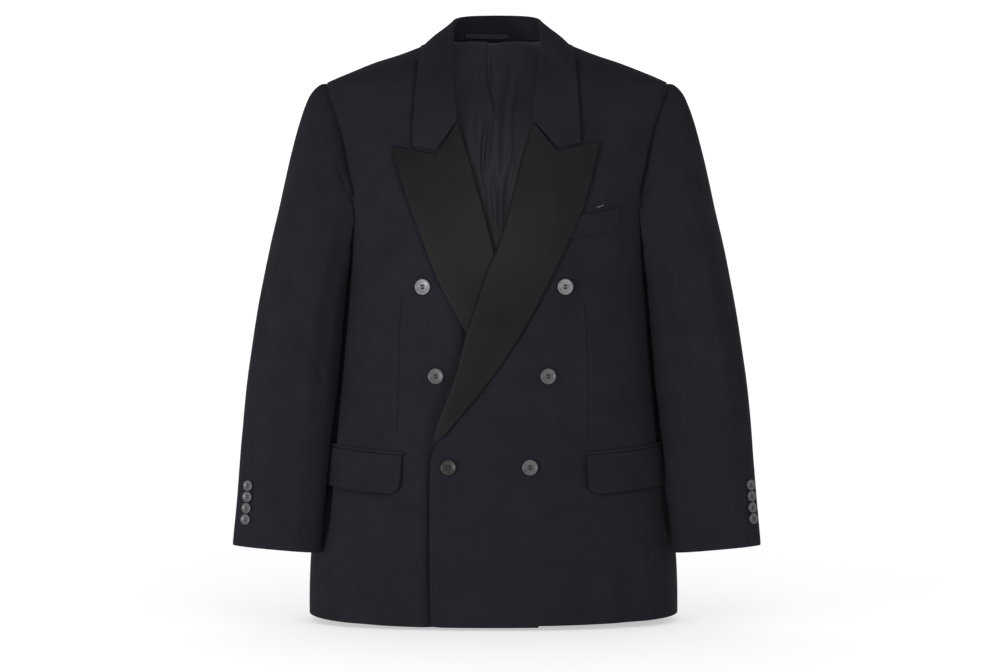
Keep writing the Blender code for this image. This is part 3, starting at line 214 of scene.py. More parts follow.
# Half of the collar from the gorge (share 0) to the centre back (share 1): the neck
# seam, the fold and the outer edge. On the chest (y = None) the points lie on the front.
# "way" is the plan direction in which the fall lies, in degrees from straight ahead.
# Columns: share, seam_x, seam_y, seam_z, fold_x, fold_y, fold_z, outer_x, outer_y,
# outer_z, way, bend.
COLLAR_END_ROWS = {
    1: (
        (0.0, 0.05, None, -0.0925, 0.0462, None, -0.0882, 0.1062, None, -0.1167, 10, 0.0212),
        (0.1, 0.0555, None, -0.0655, 0.0485, None, -0.061, 0.1055, None, -0.095, 12, 0.013),
        (0.2, 0.0605, None, -0.0385, 0.0515, None, -0.03, 0.104, None, -0.066, 16, 0.005),
    ),
    -1: (
        (0.0, 0.0534, None, -0.0925, 0.0496, None, -0.0882, 0.1062, None, -0.1203, 10, 0.024),
        (0.1, 0.058, None, -0.0655, 0.0515, None, -0.061, 0.106, None, -0.097, 12, 0.015),
        (0.2, 0.0625, None, -0.0385, 0.0545, None, -0.03, 0.1045, None, -0.067, 16, 0.0055),
    ),
}
COLLAR_ROWS = (
    (0.3, 0.0645, None, -0.013, 0.055, None, 0.0, 0.1025, None, -0.036, 25, 0.0),
    (0.42, 0.0658, None, 0.012, 0.056, -0.034, 0.027, 0.1005, None, -0.008, 50, 0.0),
    (0.52, 0.0658, -0.006, 0.0308, 0.056, -0.005, 0.0455, 0.099, -0.02, 0.013, 75, 0.0),
    (0.62, 0.061, 0.024, 0.031, 0.054, 0.02, 0.0555, 0.094, 0.037, 0.0155, 100, 0.0),
    (0.75, 0.047, 0.043, 0.0304, 0.044, 0.042, 0.062, 0.072, 0.059, 0.017, 130, 0.0),
    (0.88, 0.025, 0.0555, 0.0304, 0.024, 0.0545, 0.065, 0.038, 0.07, 0.019, 158, 0.0),
    (1.0, 0.0, 0.0595, 0.0304, 0.0, 0.058, 0.0658, 0.0, 0.0735, 0.02, 180, 0.0),
)
COLLAR_NOTCH_SHARE = {1: 0.475, -1: 0.446}
COLLAR_RADIUS = 0.0030
COLLAR_LIFT = 0.0022
SHOULDER_ROOM_HEIGHTS = (-0.030, 0.000)   # the fall comes closer between these heights
FALL_BULGE = 0.0022       # how far the fall bows out between its fold and its edge

# Rings of a sleeve from the shoulder to the cuff, with x counted away from the centre.
# "own_shape" is 0 where the ring follows the armhole and 1 where it keeps its own form.
# Columns: outer_x, outer_z, inner_x, inner_z, centre_y, half_depth, own_shape.
SLEEVE_ROWS = (
    (0.222, -0.031, 0.203, -0.213, 0.0, 0.07, 0.0),
    (0.2315, -0.0345, 0.2035, -0.2155, 0.0, 0.0715, 0.05),
    (0.241, -0.044, 0.201, -0.218, -0.001, 0.072, 0.15),
    (0.2495, -0.062, 0.189, -0.221, -0.002, 0.0725, 0.3),
    (0.2585, -0.089, 0.18, -0.225, -0.0045, 0.0725, 0.5),
    (0.267, -0.122, 0.175, -0.231, -0.008, 0.0715, 0.7),
    (0.2755, -0.16, 0.173, -0.24, -0.0115, 0.07, 0.88),
    (0.284, -0.2, 0.175, -0.253, -0.015, 0.0675, 1.0),
    (0.293, -0.24, 0.18, -0.272, -0.02, 0.0645, 1.0),
    (0.301, -0.28, 0.1875, -0.298, -0.025, 0.0615, 1.0),
    (0.309, -0.325, 0.1935, -0.335, -0.0305, 0.058, 1.0),
    (0.3162, -0.375, 0.199, -0.381, -0.036, 0.053, 1.0),
    (0.3225, -0.425, 0.2045, -0.431, -0.0425, 0.0475, 1.0),
    (0.327, -0.475, 0.2105, -0.4815, -0.0475, 0.042, 1.0),
    (0.3305, -0.525, 0.2165, -0.5325, -0.053, 0.0365, 1.0),
    (0.334, -0.576, 0.221, -0.5845, -0.0585, 0.0315, 1.0),
    (0.3383, -0.628, 0.2255, -0.638, -0.0635, 0.0275, 1.0),
)
SLEEVE_SQUARENESS = 2.3
# Where a sleeve's two seams run, in degrees round the ring from its outer point,
# positive towards the front.
SLEEVE_SEAM_COLUMNS = ("ring", "hindarm", "inseam")
SLEEVE_SEAM_ROWS = (
    (0.0, -55.0, 150.0), (6.0, -40.0, 155.0), (10.0, -20.0, 162.0), (13.0, 0.0, 170.0),
    (16.0, 12.0, 180.0),
)
# Long soft folds down a sleeve: ring angle at the top and at the cuff, half-width,
# first and last ring, and depth (below zero is a trough).
# Columns: angle_top, angle_cuff, spread, first, last, depth.
SLEEVE_FOLD_ROWS = (
    (75.0, 95.0, 22.0, 5.5, 16.5, -0.003),
    (118.0, 128.0, 16.0, 4.5, 13.0, -0.0022),
    (30.0, 52.0, 20.0, 7.0, 14.0, -0.0018),
    (-60.0, -75.0, 24.0, 6.0, 16.5, -0.0028),
    (-120.0, -125.0, 20.0, 5.0, 14.0, -0.002),
)

# Hip pocket: the flap between two body angles, the slant of its mouth, and its depth.
FLAP_START = 27.5
FLAP_END = 82.0
FLAP_TOP_START = -0.5112
FLAP_TOP_END = -0.4995
FLAP_DEPTH = 0.0492
FLAP_CORNER = 0.012           # radius of the front lower corner
FLAP_REACH = 0.15             # the body's radius where that corner lies
JETTING_OVERHANG = 0.8        # degrees by which the jetting runs past the flap

# Breast welt: its inner and its outer end on the left front.
# Columns: x, top, bottom.
WELT_ROWS = ((0.0860, -0.2132, -0.2398), (0.1557, -0.1980, -0.2262))

# Show buttons. Columns: name, x, height, and the front that each one is sewn on.
BUTTON_ROWS = (
    ("button_right_top", -0.0929, -0.2992, -1),
    ("button_left_top", 0.0854, -0.2992, 1),
    ("button_right_middle", -0.0765, -0.4116, -1),
    ("button_left_middle", 0.0640, -0.4116, 1),
    ("button_fastened", -0.0602, -0.5263, 1),
    ("button_left_low", 0.0414, -0.5263, 1),
)
BUTTON_SEAT = 0.0003
BUTTON_SAG = 0.0004      # the cloth's curve under a button's flat back
CUFF_BUTTON_HEIGHTS = (-0.5506, -0.5648, -0.5790, -0.5932)
CUFF_BUTTON_ANGLE = {1: 36.0, -1: 47.0}


# ---------------------------------------------------------------- finer sizes of the cloth
STEP = 0.0034                 # spacing of the cloth's points
SLEEVE_STEP = 0.0036          # across the sleeves and the lining
RING_STEP = 0.0038            # and down the sleeves
ROLL = 0.0010                 # width over which a cut edge turns down
RIM = 0.34                    # share of the wall that a cut edge turns down
SEWN_GAP = 0.00012            # room between panels that are sewn together
SEWN_EDGE = 0.0003            # and along the armhole
SEWN_LIFT = 0.0004
GROOVE_DEPTH = 0.0055          # how far both cloths sink into the armhole seam in front
GROOVE_WIDTH = 0.011
GROOVE_HEIGHTS = (-0.045, -0.130)


# ---------------------------------------------------------------- smooth tables
class Track:
    """A smooth curve through a short table, with no overshoot between its rows."""

    def __init__(self, stops, values):
        order = np.argsort(stops)
        self.stops = np.asarray(stops, float)[order]
        self.values = np.asarray(values, float)[order]
        step = np.diff(self.stops)
        rise = np.diff(self.values) / step
        slopes = np.zeros(len(self.stops))
        slopes[0] = rise[0]
        slopes[-1] = rise[-1]
        for i in range(1, len(rise)):
            if rise[i - 1] * rise[i] > 0:
                left = 2 * step[i] + step[i - 1]
                right = step[i] + 2 * step[i - 1]
                slopes[i] = (left + right) / (left / rise[i - 1] + right / rise[i])
        self.slopes = slopes

    def __call__(self, at):
        at = np.clip(at, self.stops[0], self.stops[-1])
        i = np.clip(np.searchsorted(self.stops, at) - 1, 0, len(self.stops) - 2)
        step = self.stops[i + 1] - self.stops[i]
        s = (at - self.stops[i]) / step
        before = (1 + 2 * s) * (1 - s) ** 2 * self.values[i]
        after = s * s * (3 - 2 * s) * self.values[i + 1]
        lean_before = s * (1 - s) ** 2 * step * self.slopes[i]
        lean_after = s * s * (s - 1) * step * self.slopes[i + 1]
        return before + after + lean_before + lean_after


def tracks(columns, rows):
    """One Track for each column of a table, against its first column."""
    stops = [row[0] for row in rows]
    return {name: Track(stops, [row[k] for row in rows])
            for k, name in enumerate(columns) if k > 0}


def part_way(value, start, end):
    """0 up to start, 1 from end on, straight between."""
    return np.clip((value - start) / (end - start), 0.0, 1.0)


def ramp(value, start, end):
    """0 up to start, 1 from end on, smooth between."""
    s = part_way(value, start, end)
    return s * s * (3 - 2 * s)


def off_edges(shares, near):
    """1 but for a strip's two edges, where it falls to 0 over this share of it."""
    return ramp(shares, 0.0, near) * ramp(shares, 1.0, 1 - near)


def mix(a, b, share):
    return a + (b - a) * share


def soft_bump(distance, spread):
    """1 at the middle of a fold, 0 from its spread on."""
    s = np.minimum(np.abs(distance) / spread, 1.0)
    return (1 - s * s) ** 2


def signed_power(value, power):
    return np.copysign(np.abs(value) ** power, value)


def unit(vectors):
    return vectors / np.maximum(np.linalg.norm(vectors, axis=-1, keepdims=True), 1e-12)


BODY = tracks(BODY_COLUMNS, BODY_ROWS)
FRONT_EDGE = tracks(EDGE_COLUMNS, FRONT_EDGE_ROWS)["angle"]
BACK_EDGE = tracks(EDGE_COLUMNS, BACK_EDGE_ROWS)["angle"]
UNDERARM = tracks(UNDERARM_COLUMNS, UNDERARM_ROWS)["height"]


# ---------------------------------------------------------------- the body's surface
def turning_folds(rows, place, turn, taper):
    """Depth of long folds, each with its centre, in degrees, turning between two places."""
    total = 0.0
    for from_turn, to_turn, spread, first, last, depth in rows:
        along = part_way(place, first, last)
        away = (turn - mix(from_turn, to_turn, along) + 180) % 360 - 180
        total = total + depth * soft_bump(away, spread) * taper(along)
    return total


def body_base(angle, height):
    """Points on the body's surface; angles in radians, 0 at the front centre."""
    angle, height = np.broadcast_arrays(np.asarray(angle, float), np.asarray(height, float))
    wide = BODY["half_width"](height)
    deep = np.where(np.cos(angle) > 0, BODY["front_depth"](height), BODY["back_depth"](height))
    across = signed_power(np.sin(angle), 2 / SQUARENESS)
    along = signed_power(np.cos(angle), 2 / SQUARENESS)
    folds = turning_folds(BODY_FOLD_ROWS, height, np.degrees(angle),
                          lambda along: ramp(along, 0.0, 0.45))
    reach = 1 + folds / deep
    x = BODY["centre"](height) + wide * across * reach
    return np.stack((x, -deep * along * reach, height), axis=-1)


def body_normal(angle, height):
    """The outward direction of the body's surface."""
    turn = 0.004
    rise = 0.0006
    across = body_base(angle + turn, height) - body_base(angle - turn, height)
    up = body_base(angle, height + rise) - body_base(angle, height - rise)
    return unit(np.cross(across, up))


def on_body(angle, height, out=0.0):
    """Points moved out from the body's surface."""
    out = np.asarray(out, float)
    return body_base(angle, height) + out[..., None] * body_normal(angle, height)


def angle_of(x, height):
    """The angle at which the front of the body's slice has this x."""
    share = np.clip((x - BODY["centre"](height)) / BODY["half_width"](height), -0.9999, 0.9999)
    return np.arcsin(signed_power(share, SQUARENESS / 2))


def on_front(x, height, out=0.0):
    """Points on the front of the body, found by x and height."""
    return on_body(angle_of(x, height), height, out)


def body_level(point):
    """Below zero inside the body's surface, above it outside."""
    x, y, height = np.moveaxis(point, -1, 0)
    deep = np.where(y < 0, BODY["front_depth"](height), BODY["back_depth"](height))
    across = np.abs(x - BODY["centre"](height)) / BODY["half_width"](height)
    along = np.abs(y) / deep
    return (across ** SQUARENESS + along ** SQUARENESS) ** (1 / SQUARENESS) - 1


def push_clear(point, room):
    """Move points out until they lie at least this far from the body's surface."""
    step = 0.0004
    point = np.array(point, float)
    for _ in range(5):
        slope = np.stack([(body_level(point + step * axis) - body_level(point - step * axis))
                          for axis in np.eye(3)], axis=-1) / (2 * step)
        steepness = np.linalg.norm(slope, axis=-1)
        gap = body_level(point) / steepness
        short = np.maximum(room - gap, 0.0)
        point = point + slope / steepness[..., None] * short[..., None]
    return point


def groove_strength(height):
    """How much of the armhole's groove there is at a height."""
    start = 0.35 * ramp(-height, 0.015, 0.03) + 0.65 * ramp(-height, *(-h for h in GROOVE_HEIGHTS))
    return start * (1 - ramp(-height, -CHEST_SEAM - 0.014, -CHEST_SEAM))


def layer(side, x, height):
    """How far a front lies outside the body's surface: the left one lies on top."""
    if side < 0:
        return np.zeros(np.broadcast(x, height).shape)
    over_chest = 1 - ramp(x, OVERLAP_FULL_X, OVERLAP_END_X)
    below_neck = 1 - ramp(height, *OVERLAP_HEIGHTS)
    return OVERLAP_LAYER * over_chest * below_neck


# ---------------------------------------------------------------- cloth meshes
def spaced(length, step=STEP):
    """Shares along a strip of this length, closer together at its two cut edges."""
    near = np.array((0.0, 0.0003, 0.0008, 0.0015, 0.0026))
    parts = max(int(round((length - 0.009) / step)), 2)
    inner = np.linspace(0.0045, length - 0.0045, parts + 1)
    return np.concatenate((near, inner, length - near[::-1])) / length


def refined(knots, lengths, step=STEP):
    """Split each span between knots into parts about a step long, closer at the first knot."""
    spans = [np.linspace(first, last, max(int(math.ceil(length / step)), 1), endpoint=False)
             for first, last, length in zip(knots, knots[1:], lengths)]
    stops = np.append(np.concatenate(spans), knots[-1])
    near = np.array([0.0003, 0.0008, 0.0015]) / step
    for end, after in ((0, 1), (-1, -2)):
        stops = np.append(stops, stops[end] + (stops[after] - stops[end]) * near)
    return np.unique(np.round(stops, 7))


def with_share(shares, wanted, room):
    """Shares of a strip with a wanted one in place of those that are too near to it."""
    return np.sort(np.append(shares[np.abs(shares - wanted) > room], wanted))


def distances(grid):
    """Lengths along the rows and down the columns of a grid of points."""
    across = np.cumsum(np.linalg.norm(np.diff(grid, axis=1), axis=2), axis=1)
    down = np.cumsum(np.linalg.norm(np.diff(grid, axis=0), axis=2), axis=0)
    return np.pad(across, ((0, 0), (1, 0))), np.pad(down, ((1, 0), (0, 0)))


def grid_normals(grid, outward=None):
    """Directions square to a grid of points, turned to the side of some outward ones."""
    normals = unit(np.cross(np.gradient(grid, axis=0), np.gradient(grid, axis=1)))
    if outward is not None and np.sum(normals * outward) < 0:
        normals = -normals
    return normals


def blurred(normals, passes=4):
    """Directions evened out with their neighbours, for a back face without kinks."""
    for _ in range(passes):
        wide = np.pad(normals, ((1, 1), (1, 1), (0, 0)), mode="edge")
        normals = unit(2 * wide[1:-1, 1:-1] + wide[:-2, 1:-1] + wide[2:, 1:-1]
                       + wide[1:-1, :-2] + wide[1:-1, 2:])
    return normals


def placed(name, data):
    """A new object in the scene."""
    made = bpy.data.objects.new(name, data)
    bpy.context.scene.collection.objects.link(made)
    return made


def shell(name, replaced, face, normals, thickness, outside, inside, faced=0):
    """A thin cloth piece from its outer points: rolled edges, two faces, a map in metres.

    The first rows, as many as faced says, have the outer cloth inside too.
    """
    across, down = distances(face)
    edge = np.minimum.reduce((across, across[:, -1:] - across, down, down[-1:] - down))
    turned = 1 - np.clip(edge / ROLL, 0.0, 1.0)
    drop = RIM * thickness * (1 - np.sqrt(np.maximum(1 - turned ** 2, 0.0)))
    outer = face - drop[..., None] * normals
    inner = face - (thickness - drop)[..., None] * normals
    half = across.size
    index = np.arange(half).reshape(across.shape)
    quads = np.stack((index[:-1, :-1], index[:-1, 1:], index[1:, 1:], index[1:, :-1]), axis=-1)
    quads = quads.reshape(-1, 4)
    rims = [np.stack((line[1:], line[:-1], line[:-1] + half, line[1:] + half), axis=-1)
            for line in (index[0], index[-1][::-1], index[:, 0][::-1], index[:, -1])]
    faces = np.concatenate((quads, quads[:, ::-1] + half, *rims))
    points = np.concatenate((outer.reshape(-1, 3), inner.reshape(-1, 3)))
    mesh = bpy.data.meshes.new(name)
    mesh.from_pydata(points.tolist(), [], faces.tolist())
    flat = np.tile(np.stack((across, down), axis=-1).reshape(-1, 2), (2, 1))
    corner = np.zeros(len(mesh.loops), np.int32)
    mesh.loops.foreach_get("vertex_index", corner)
    layout = mesh.uv_layers.new(name="cut")
    layout.data.foreach_set("uv", flat[corner].astype(np.float32).ravel())
    mesh.materials.append(outside)
    mesh.materials.append(inside)
    which = np.zeros(len(faces), np.int32)
    which[len(quads) + faced * (across.shape[1] - 1):2 * len(quads)] = 1
    mesh.polygons.foreach_set("material_index", which)
    solid = bmesh.new()
    solid.from_mesh(mesh)
    if solid.calc_volume(signed=True) < 0:
        bmesh.ops.reverse_faces(solid, faces=solid.faces)
    solid.to_mesh(mesh)
    solid.free()
    mesh.shade_smooth()
    made = placed(name, mesh)
    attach(made, "root")
    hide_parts(replaced)
    return made


def creases(rows, x, z):
    """Displacement by short soft creases, each along a line with tapered ends."""
    total = 0.0
    for x0, z0, x1, z1, spread, depth in rows:
        length = math.hypot(x1 - x0, z1 - z0)
        right, up = (x1 - x0) / length, (z1 - z0) / length
        along = np.clip(((x - x0) * right + (z - z0) * up) / length, 0.0, 1.0)
        taper = np.sin(np.pi * along)
        bow = (x - x0) * up - (z - z0) * right - 0.06 * length * taper
        total = total + depth * soft_bump(bow, spread) * taper ** 0.8
    return total


def trough(stops, x, z, spread, depth):
    """Displacement by a soft hollow that follows a line of x and height."""
    line = Track([stop[1] for stop in stops], [stop[0] for stop in stops])
    along = part_way(z, stops[0][1], stops[-1][1])
    return depth * soft_bump(x - line(z), spread) * ramp(along, 0.0, 0.15)


def along_lines(lines, x, z, spread):
    """1 on any of the lines of x and height, 0 from the spread on."""
    nearest = 1.0
    for line in lines:
        for (x0, z0), (x1, z1) in zip(line, line[1:]):
            right, up = x1 - x0, z1 - z0
            share = np.clip(((x - x0) * right + (z - z0) * up) / (right ** 2 + up ** 2), 0.0, 1.0)
            off = np.hypot(x - x0 - share * right, z - z0 - share * up)
            nearest = np.minimum(nearest, off)
    return soft_bump(nearest, spread)


def ripple(x, z, seed, size=0.05):
    """Gentle unevenness that never repeats, from a few long waves."""
    maker = np.random.default_rng(seed)
    total = 0.0
    for _ in range(7):
        turn = maker.uniform(0, 2 * math.pi)
        wave = 2 * math.pi / (size * maker.uniform(0.7, 2.2))
        phase = maker.uniform(0, 2 * math.pi)
        total = total + np.sin(wave * (x * math.cos(turn) + 0.55 * z * math.sin(turn)) + phase)
    return total / 7


# ---------------------------------------------------------------- finishes
def node(tree, kind, sockets, **settings):
    """The first output of a new shader node, its sockets set to numbers or linked."""
    made = tree.nodes.new(kind)
    for key, value in settings.items():
        setattr(made, key, value)
    for key, value in sockets.items():
        if isinstance(value, bpy.types.NodeSocket):
            tree.links.new(value, made.inputs[key])
        else:
            made.inputs[key].default_value = value
    return made.outputs[0]


def maths(tree, operation, *values):
    """A sum of one or two values."""
    return node(tree, "ShaderNodeMath", dict(enumerate(values)), operation=operation)


def map_range(tree, value, low, high, to_low, to_high):
    """A value moved from one range into another."""
    return node(tree, "ShaderNodeMapRange", {"Value": value, "From Min": low, "From Max": high,
                                             "To Min": to_low, "To Max": to_high})


def noise(tree, place, scale, detail, **sockets):
    """Cloudy noise over a place."""
    return node(tree, "ShaderNodeTexNoise",
                {"Vector": place, "Scale": scale, "Detail": detail, **sockets})


def places(tree):
    """The cut's map in metres and the place in the object."""
    outputs = node(tree, "ShaderNodeTexCoord", {}).node.outputs
    return outputs["UV"], outputs["Object"]


def plain_shader(name, colour, roughness, **numbers):
    """A material, its node tree and its Principled shader."""
    made = bpy.data.materials.new(name)
    made.use_nodes = True
    shader = made.node_tree.nodes["Principled BSDF"]
    shader.inputs["Base Color"].default_value = (*colour, 1.0)
    shader.inputs["Roughness"].default_value = roughness
    for key, value in numbers.items():
        shader.inputs[key.replace("_", " ")].default_value = value
    return made, made.node_tree, shader


def thread_pattern(tree, flat, across, along, twill):
    """Height of a weave from two sets of waves over a map in metres."""
    split = node(tree, "ShaderNodeSeparateXYZ", {0: flat}).node.outputs
    waves = []
    for axis, count, other in ((0, across, along), (1, along, across)):
        own = maths(tree, "MULTIPLY", split[axis], 2 * math.pi * count)
        shift = maths(tree, "MULTIPLY", split[1 - axis], 2 * math.pi * other * twill)
        waves.append(maths(tree, "SINE", maths(tree, "ADD", own, shift)))
    return maths(tree, "MAXIMUM", *waves)


def cloth_material(name, colour, roughness, weave, twill, depth, mottle, mottle_size, **numbers):
    """A woven cloth: thread relief, uneven colour and a mottled sheen."""
    made, tree, shader = plain_shader(name, colour, roughness, **numbers)
    flat, solid = places(tree)
    pattern = thread_pattern(tree, flat, weave, weave * 0.9, twill)
    cloudy = noise(tree, solid, mottle_size, 3.0, Roughness=0.55)
    fine = noise(tree, flat, weave * 0.35, 2.0, Roughness=0.6)
    shade = maths(tree, "MULTIPLY", map_range(tree, cloudy, 0.3, 0.7, 1 - mottle, 1 + mottle),
                  map_range(tree, fine, 0.25, 0.75, 0.86, 1.14))
    tint = node(tree, "ShaderNodeVectorMath", {0: colour, "Scale": shade}, operation="SCALE")
    gloss = map_range(tree, cloudy, 0.3, 0.7, roughness * (1 - 0.6 * mottle),
                      min(roughness * (1 + 0.6 * mottle), 1.0))
    bump = node(tree, "ShaderNodeBump", {"Strength": 0.55, "Distance": depth, "Height": pattern})
    uneven = node(tree, "ShaderNodeBump", {"Strength": 0.4, "Distance": depth * 4,
                                           "Height": fine, "Normal": bump})
    for key, value in (("Base Color", tint), ("Roughness", gloss), ("Normal", uneven)):
        tree.links.new(value, shader.inputs[key])
    return made


WOOL = cloth_material("wool_cloth", (0.0158, 0.0148, 0.0192), 0.90, 900, 0.0, 0.00006, 0.10, 22,
                      Sheen_Weight=0.015, Sheen_Roughness=0.45, Specular_IOR_Level=0.02)
SATIN = cloth_material("satin_cloth", (0.0056, 0.0056, 0.0060), 0.46, 1500, 0.5, 0.00002, 0.20, 26,
                       Sheen_Weight=0.0, Sheen_Roughness=0.35, Specular_IOR_Level=0.13,
                       Anisotropic=0.35)
LINING = cloth_material("lining_cloth", (0.0560, 0.0540, 0.0660), 0.56, 1300, 0.5, 0.00002, 0.08,
                        26, Sheen_Weight=0.10, Sheen_Roughness=0.4, Specular_IOR_Level=0.20)
TAPE = cloth_material("loop_tape", (0.0135, 0.0132, 0.0150), 0.6, 1300, 0.5, 0.00003, 0.08, 60,
                      Specular_IOR_Level=0.2)
THREAD = cloth_material("sewing_thread", (0.0060, 0.0060, 0.0070), 0.70, 2500, 0.5, 0.00003, 0.06,
                        300, Sheen_Weight=0.10, Sheen_Roughness=0.4)
PALE_THREAD = cloth_material("basting_thread", (0.30, 0.30, 0.32), 0.75, 2500, 0.5, 0.00003, 0.06,
                             300)


def button_material(name, tone_and_painted_light):
    """Mottled dark grey resin scaled by a factor: the lighter copy is painted highlight, the darker
    copy is painted shade.
    """
    made, tree, shader = plain_shader(name, (0.105, 0.103, 0.106), 0.33,
                                      Coat_Weight=0.15, Coat_Roughness=0.2)
    solid = places(tree)[1]
    swirl = noise(tree, solid, 160.0, 3.0, Distortion=1.2)
    tones = node(tree, "ShaderNodeValToRGB", {"Fac": swirl})
    colours = ((0.35, (0.075, 0.074, 0.077)), (0.68, (0.135, 0.133, 0.136)))
    for stop, (position, colour) in zip(tones.node.color_ramp.elements, colours):
        stop.position = position
        stop.color = (*(part * tone_and_painted_light for part in colour), 1.0)
    bump = node(tree, "ShaderNodeBump", {"Strength": 0.12, "Distance": 0.0001,
                                         "Height": noise(tree, solid, 1200.0, 2.0)})
    tree.links.new(tones, shader.inputs["Base Color"])
    tree.links.new(bump, shader.inputs["Normal"])
    return made


# The same resin in three copies. The top buttons' lighter copy is a painted highlight, and the
# fastened button's near-black copy is painted shade.
BUTTON_PAINTED_HIGHLIGHT = button_material("resin_painted_highlight", 1.55)
BUTTON = button_material("button_resin", 0.66)
BUTTON_PAINTED_SHADE = button_material("resin_painted_shade", 0.05)


# ---------------------------------------------------------------- lapels and collar
def lapel_line(side, row):
    """Fold, notch-side middle and outer edge of one line across a lapel, in x and z."""
    fold = np.array((row[0], row[1]))
    outer = np.array((row[2], row[3]))
    middle = mix(fold, outer, NOTCH_SHARE[side]) - np.array((0.0, row[4]))
    return fold, middle, outer


def across_lapel(line, reach):
    """The x and z at distances from the fold along a bent line across the lapel."""
    fold, middle, outer = line
    first, second = np.linalg.norm(middle - fold), np.linalg.norm(outer - middle)
    reach = np.asarray(reach, float)[..., None]
    return np.where(reach <= first, mix(fold, middle, reach / first),
                    mix(middle, outer, (reach - first) / second))


def front_edge_stops(side):
    """Height and x along a front's own edge: the low edge, the roll and the neckline."""
    stops = [tuple(row) for row in LOW_EDGE_ROWS[side]]
    for row in LAPEL_ROWS[side]:
        x, height = across_lapel(lapel_line(side, row), row[5] + LAPEL_ROOT + LAPEL_GAP)
        stops.append((height, x))
    for row in (*COLLAR_END_ROWS[side][1:], *COLLAR_ROWS[:2]):
        stops.append((row[3], side * (row[1] + NECKLINE_GAP)))
    stops.append((FRONT_TOP + 0.0010, side * (COLLAR_ROWS[1][1] + NECKLINE_GAP)))
    return stops


LAPEL_TIP = 0.40              # the left lapel narrows to this share of its lowest width
LAPEL_WIDTH, FALL_WIDTH, HALF_COLLAR = 0.085, 0.062, 0.25    # as laid out in points
EDGE_POINTS = 5               # points of a strip that belong to its first cut edge
FRONT_INNER = {side: Track(*zip(*front_edge_stops(side))) for side in (1, -1)}
ARC = np.radians(np.arange(0, 181, 15))


def lapel(side, word):
    """A lapel: a strip in line with the front's edge, the fold, and the turned-back face."""
    rows = np.array(LAPEL_ROWS[side])
    if side > 0:
        rows[-1, 2:4] = mix(rows[-1, :2], rows[-1, 2:4], LAPEL_TIP)
    spans = np.linalg.norm(np.diff(rows[:, :2], axis=0), axis=1)
    curves = [Track(range(len(rows)), column) for column in rows.T]
    shares = with_share(spaced(LAPEL_WIDTH)[EDGE_POINTS:], NOTCH_SHARE[side], 0.01)
    grid = []
    for place in refined(range(len(rows)), spans):
        row = [float(curve(place)) for curve in curves]
        line = lapel_line(side, row)
        radius, lift = row[5], row[6]
        width = np.linalg.norm(line[1] - line[0]) + np.linalg.norm(line[2] - line[1])
        reach = np.concatenate((radius + LAPEL_ROOT * np.array((1.0, 0.6, 0.3)),
                                radius * (1 - np.sin(ARC)), mix(radius, width, shares)))
        level = np.concatenate(([-CLOTH] * 3, -CLOTH + radius * (1 - np.cos(ARC)),
                                mix(-CLOTH + 2 * radius, lift + CLOTH, ramp(shares, 0.0, 1.0))))
        x, height = across_lapel(line, reach).T
        off = reach / width
        soft = 0.0007 * ripple(x, height, 11 + side, 0.045) * np.clip(off * 3, 0, 1)
        soft = soft * (1 - ramp(off, 0.75, 1.0)) * np.minimum(1.0, width / 0.05)
        grid.append(on_front(x, height, layer(side, x, height) + level + soft))
    face = np.array(grid)
    normals = grid_normals(face)
    if normals[:, 20:, 1].sum() > 0:
        normals = -normals
    return shell(f"satin_lapel_{word}", f"lapel_{word}", face, normals, CLOTH, SATIN, SATIN)


def chest_or_given(side, x, y, height, out):
    """A collar point: on the chest where the table gives no y, else where it says."""
    if y is None:
        return on_front(side * x, height, out)
    return np.array((side * x, y, height))


def collar_tracks(side):
    """The collar's seam, fold and outer edge as smooth curves from gorge to centre back."""
    rows = (*COLLAR_END_ROWS[side], *COLLAR_ROWS)
    stops = [row[0] for row in rows]
    levels = [float(layer(side, side * row[1], row[3])) for row in rows]
    made = {"way": Track(stops, [row[10] for row in rows]),
            "bend": Track(stops, [row[11] for row in rows])}
    for key, first, out in (("seam", 1, -CLOTH), ("fold", 4, COLLAR_RADIUS - CLOTH),
                            ("outer", 7, COLLAR_LIFT + CLOTH)):
        points = [chest_or_given(side, *row[first:first + 3], level + out)
                  for row, level in zip(rows, levels)]
        made[key] = [Track(stops, values) for values in zip(*points)]
    return made


def collar_section(side, curves, shares):
    """Lines of points across the collar: stand, fold and fall."""
    seam, fold, outer = (np.stack([track(shares) for track in curves[key]], axis=-1)
                         for key in ("seam", "fold", "outer"))
    way = np.radians(curves["way"](shares))
    out = np.stack((side * np.sin(way), -np.cos(way), 0 * way), axis=-1)
    up = unit(fold - (seam + COLLAR_RADIUS * out))
    out = unit(out - np.sum(out * up, axis=-1, keepdims=True) * up)
    centre = fold - COLLAR_RADIUS * up
    foot = centre - COLLAR_RADIUS * out
    points = [mix(seam, foot, part) for part in (0.0, 0.02, 0.06, 0.12, 0.25, 0.4, 0.55, 0.7, 0.85)]
    points += [centre + COLLAR_RADIUS * (math.sin(a) * up - math.cos(a) * out) for a in ARC]
    start = points[-1]
    notch = COLLAR_NOTCH_SHARE[side]
    for part in with_share(spaced(FALL_WIDTH)[EDGE_POINTS:], notch, 0.012):
        dip = part / notch if part < notch else (1 - part) / (1 - notch)
        point = mix(start, outer, part) + FALL_BULGE * math.sin(math.pi * part) * out
        point[..., 2] -= curves["bend"](shares) * dip
        level = layer(side, point[..., 0], point[..., 2])
        room = mix(2 * COLLAR_RADIUS - CLOTH, COLLAR_LIFT + CLOTH, ramp(part, 0.0, 1.0))
        room = room * (1 - 0.75 * part * ramp(point[..., 2], *SHOULDER_ROOM_HEIGHTS))
        points.append(np.where((point[..., 2] < NECK_HEIGHT)[..., None],
                               push_clear(point, level + room), point))
    return np.stack(points, axis=1)


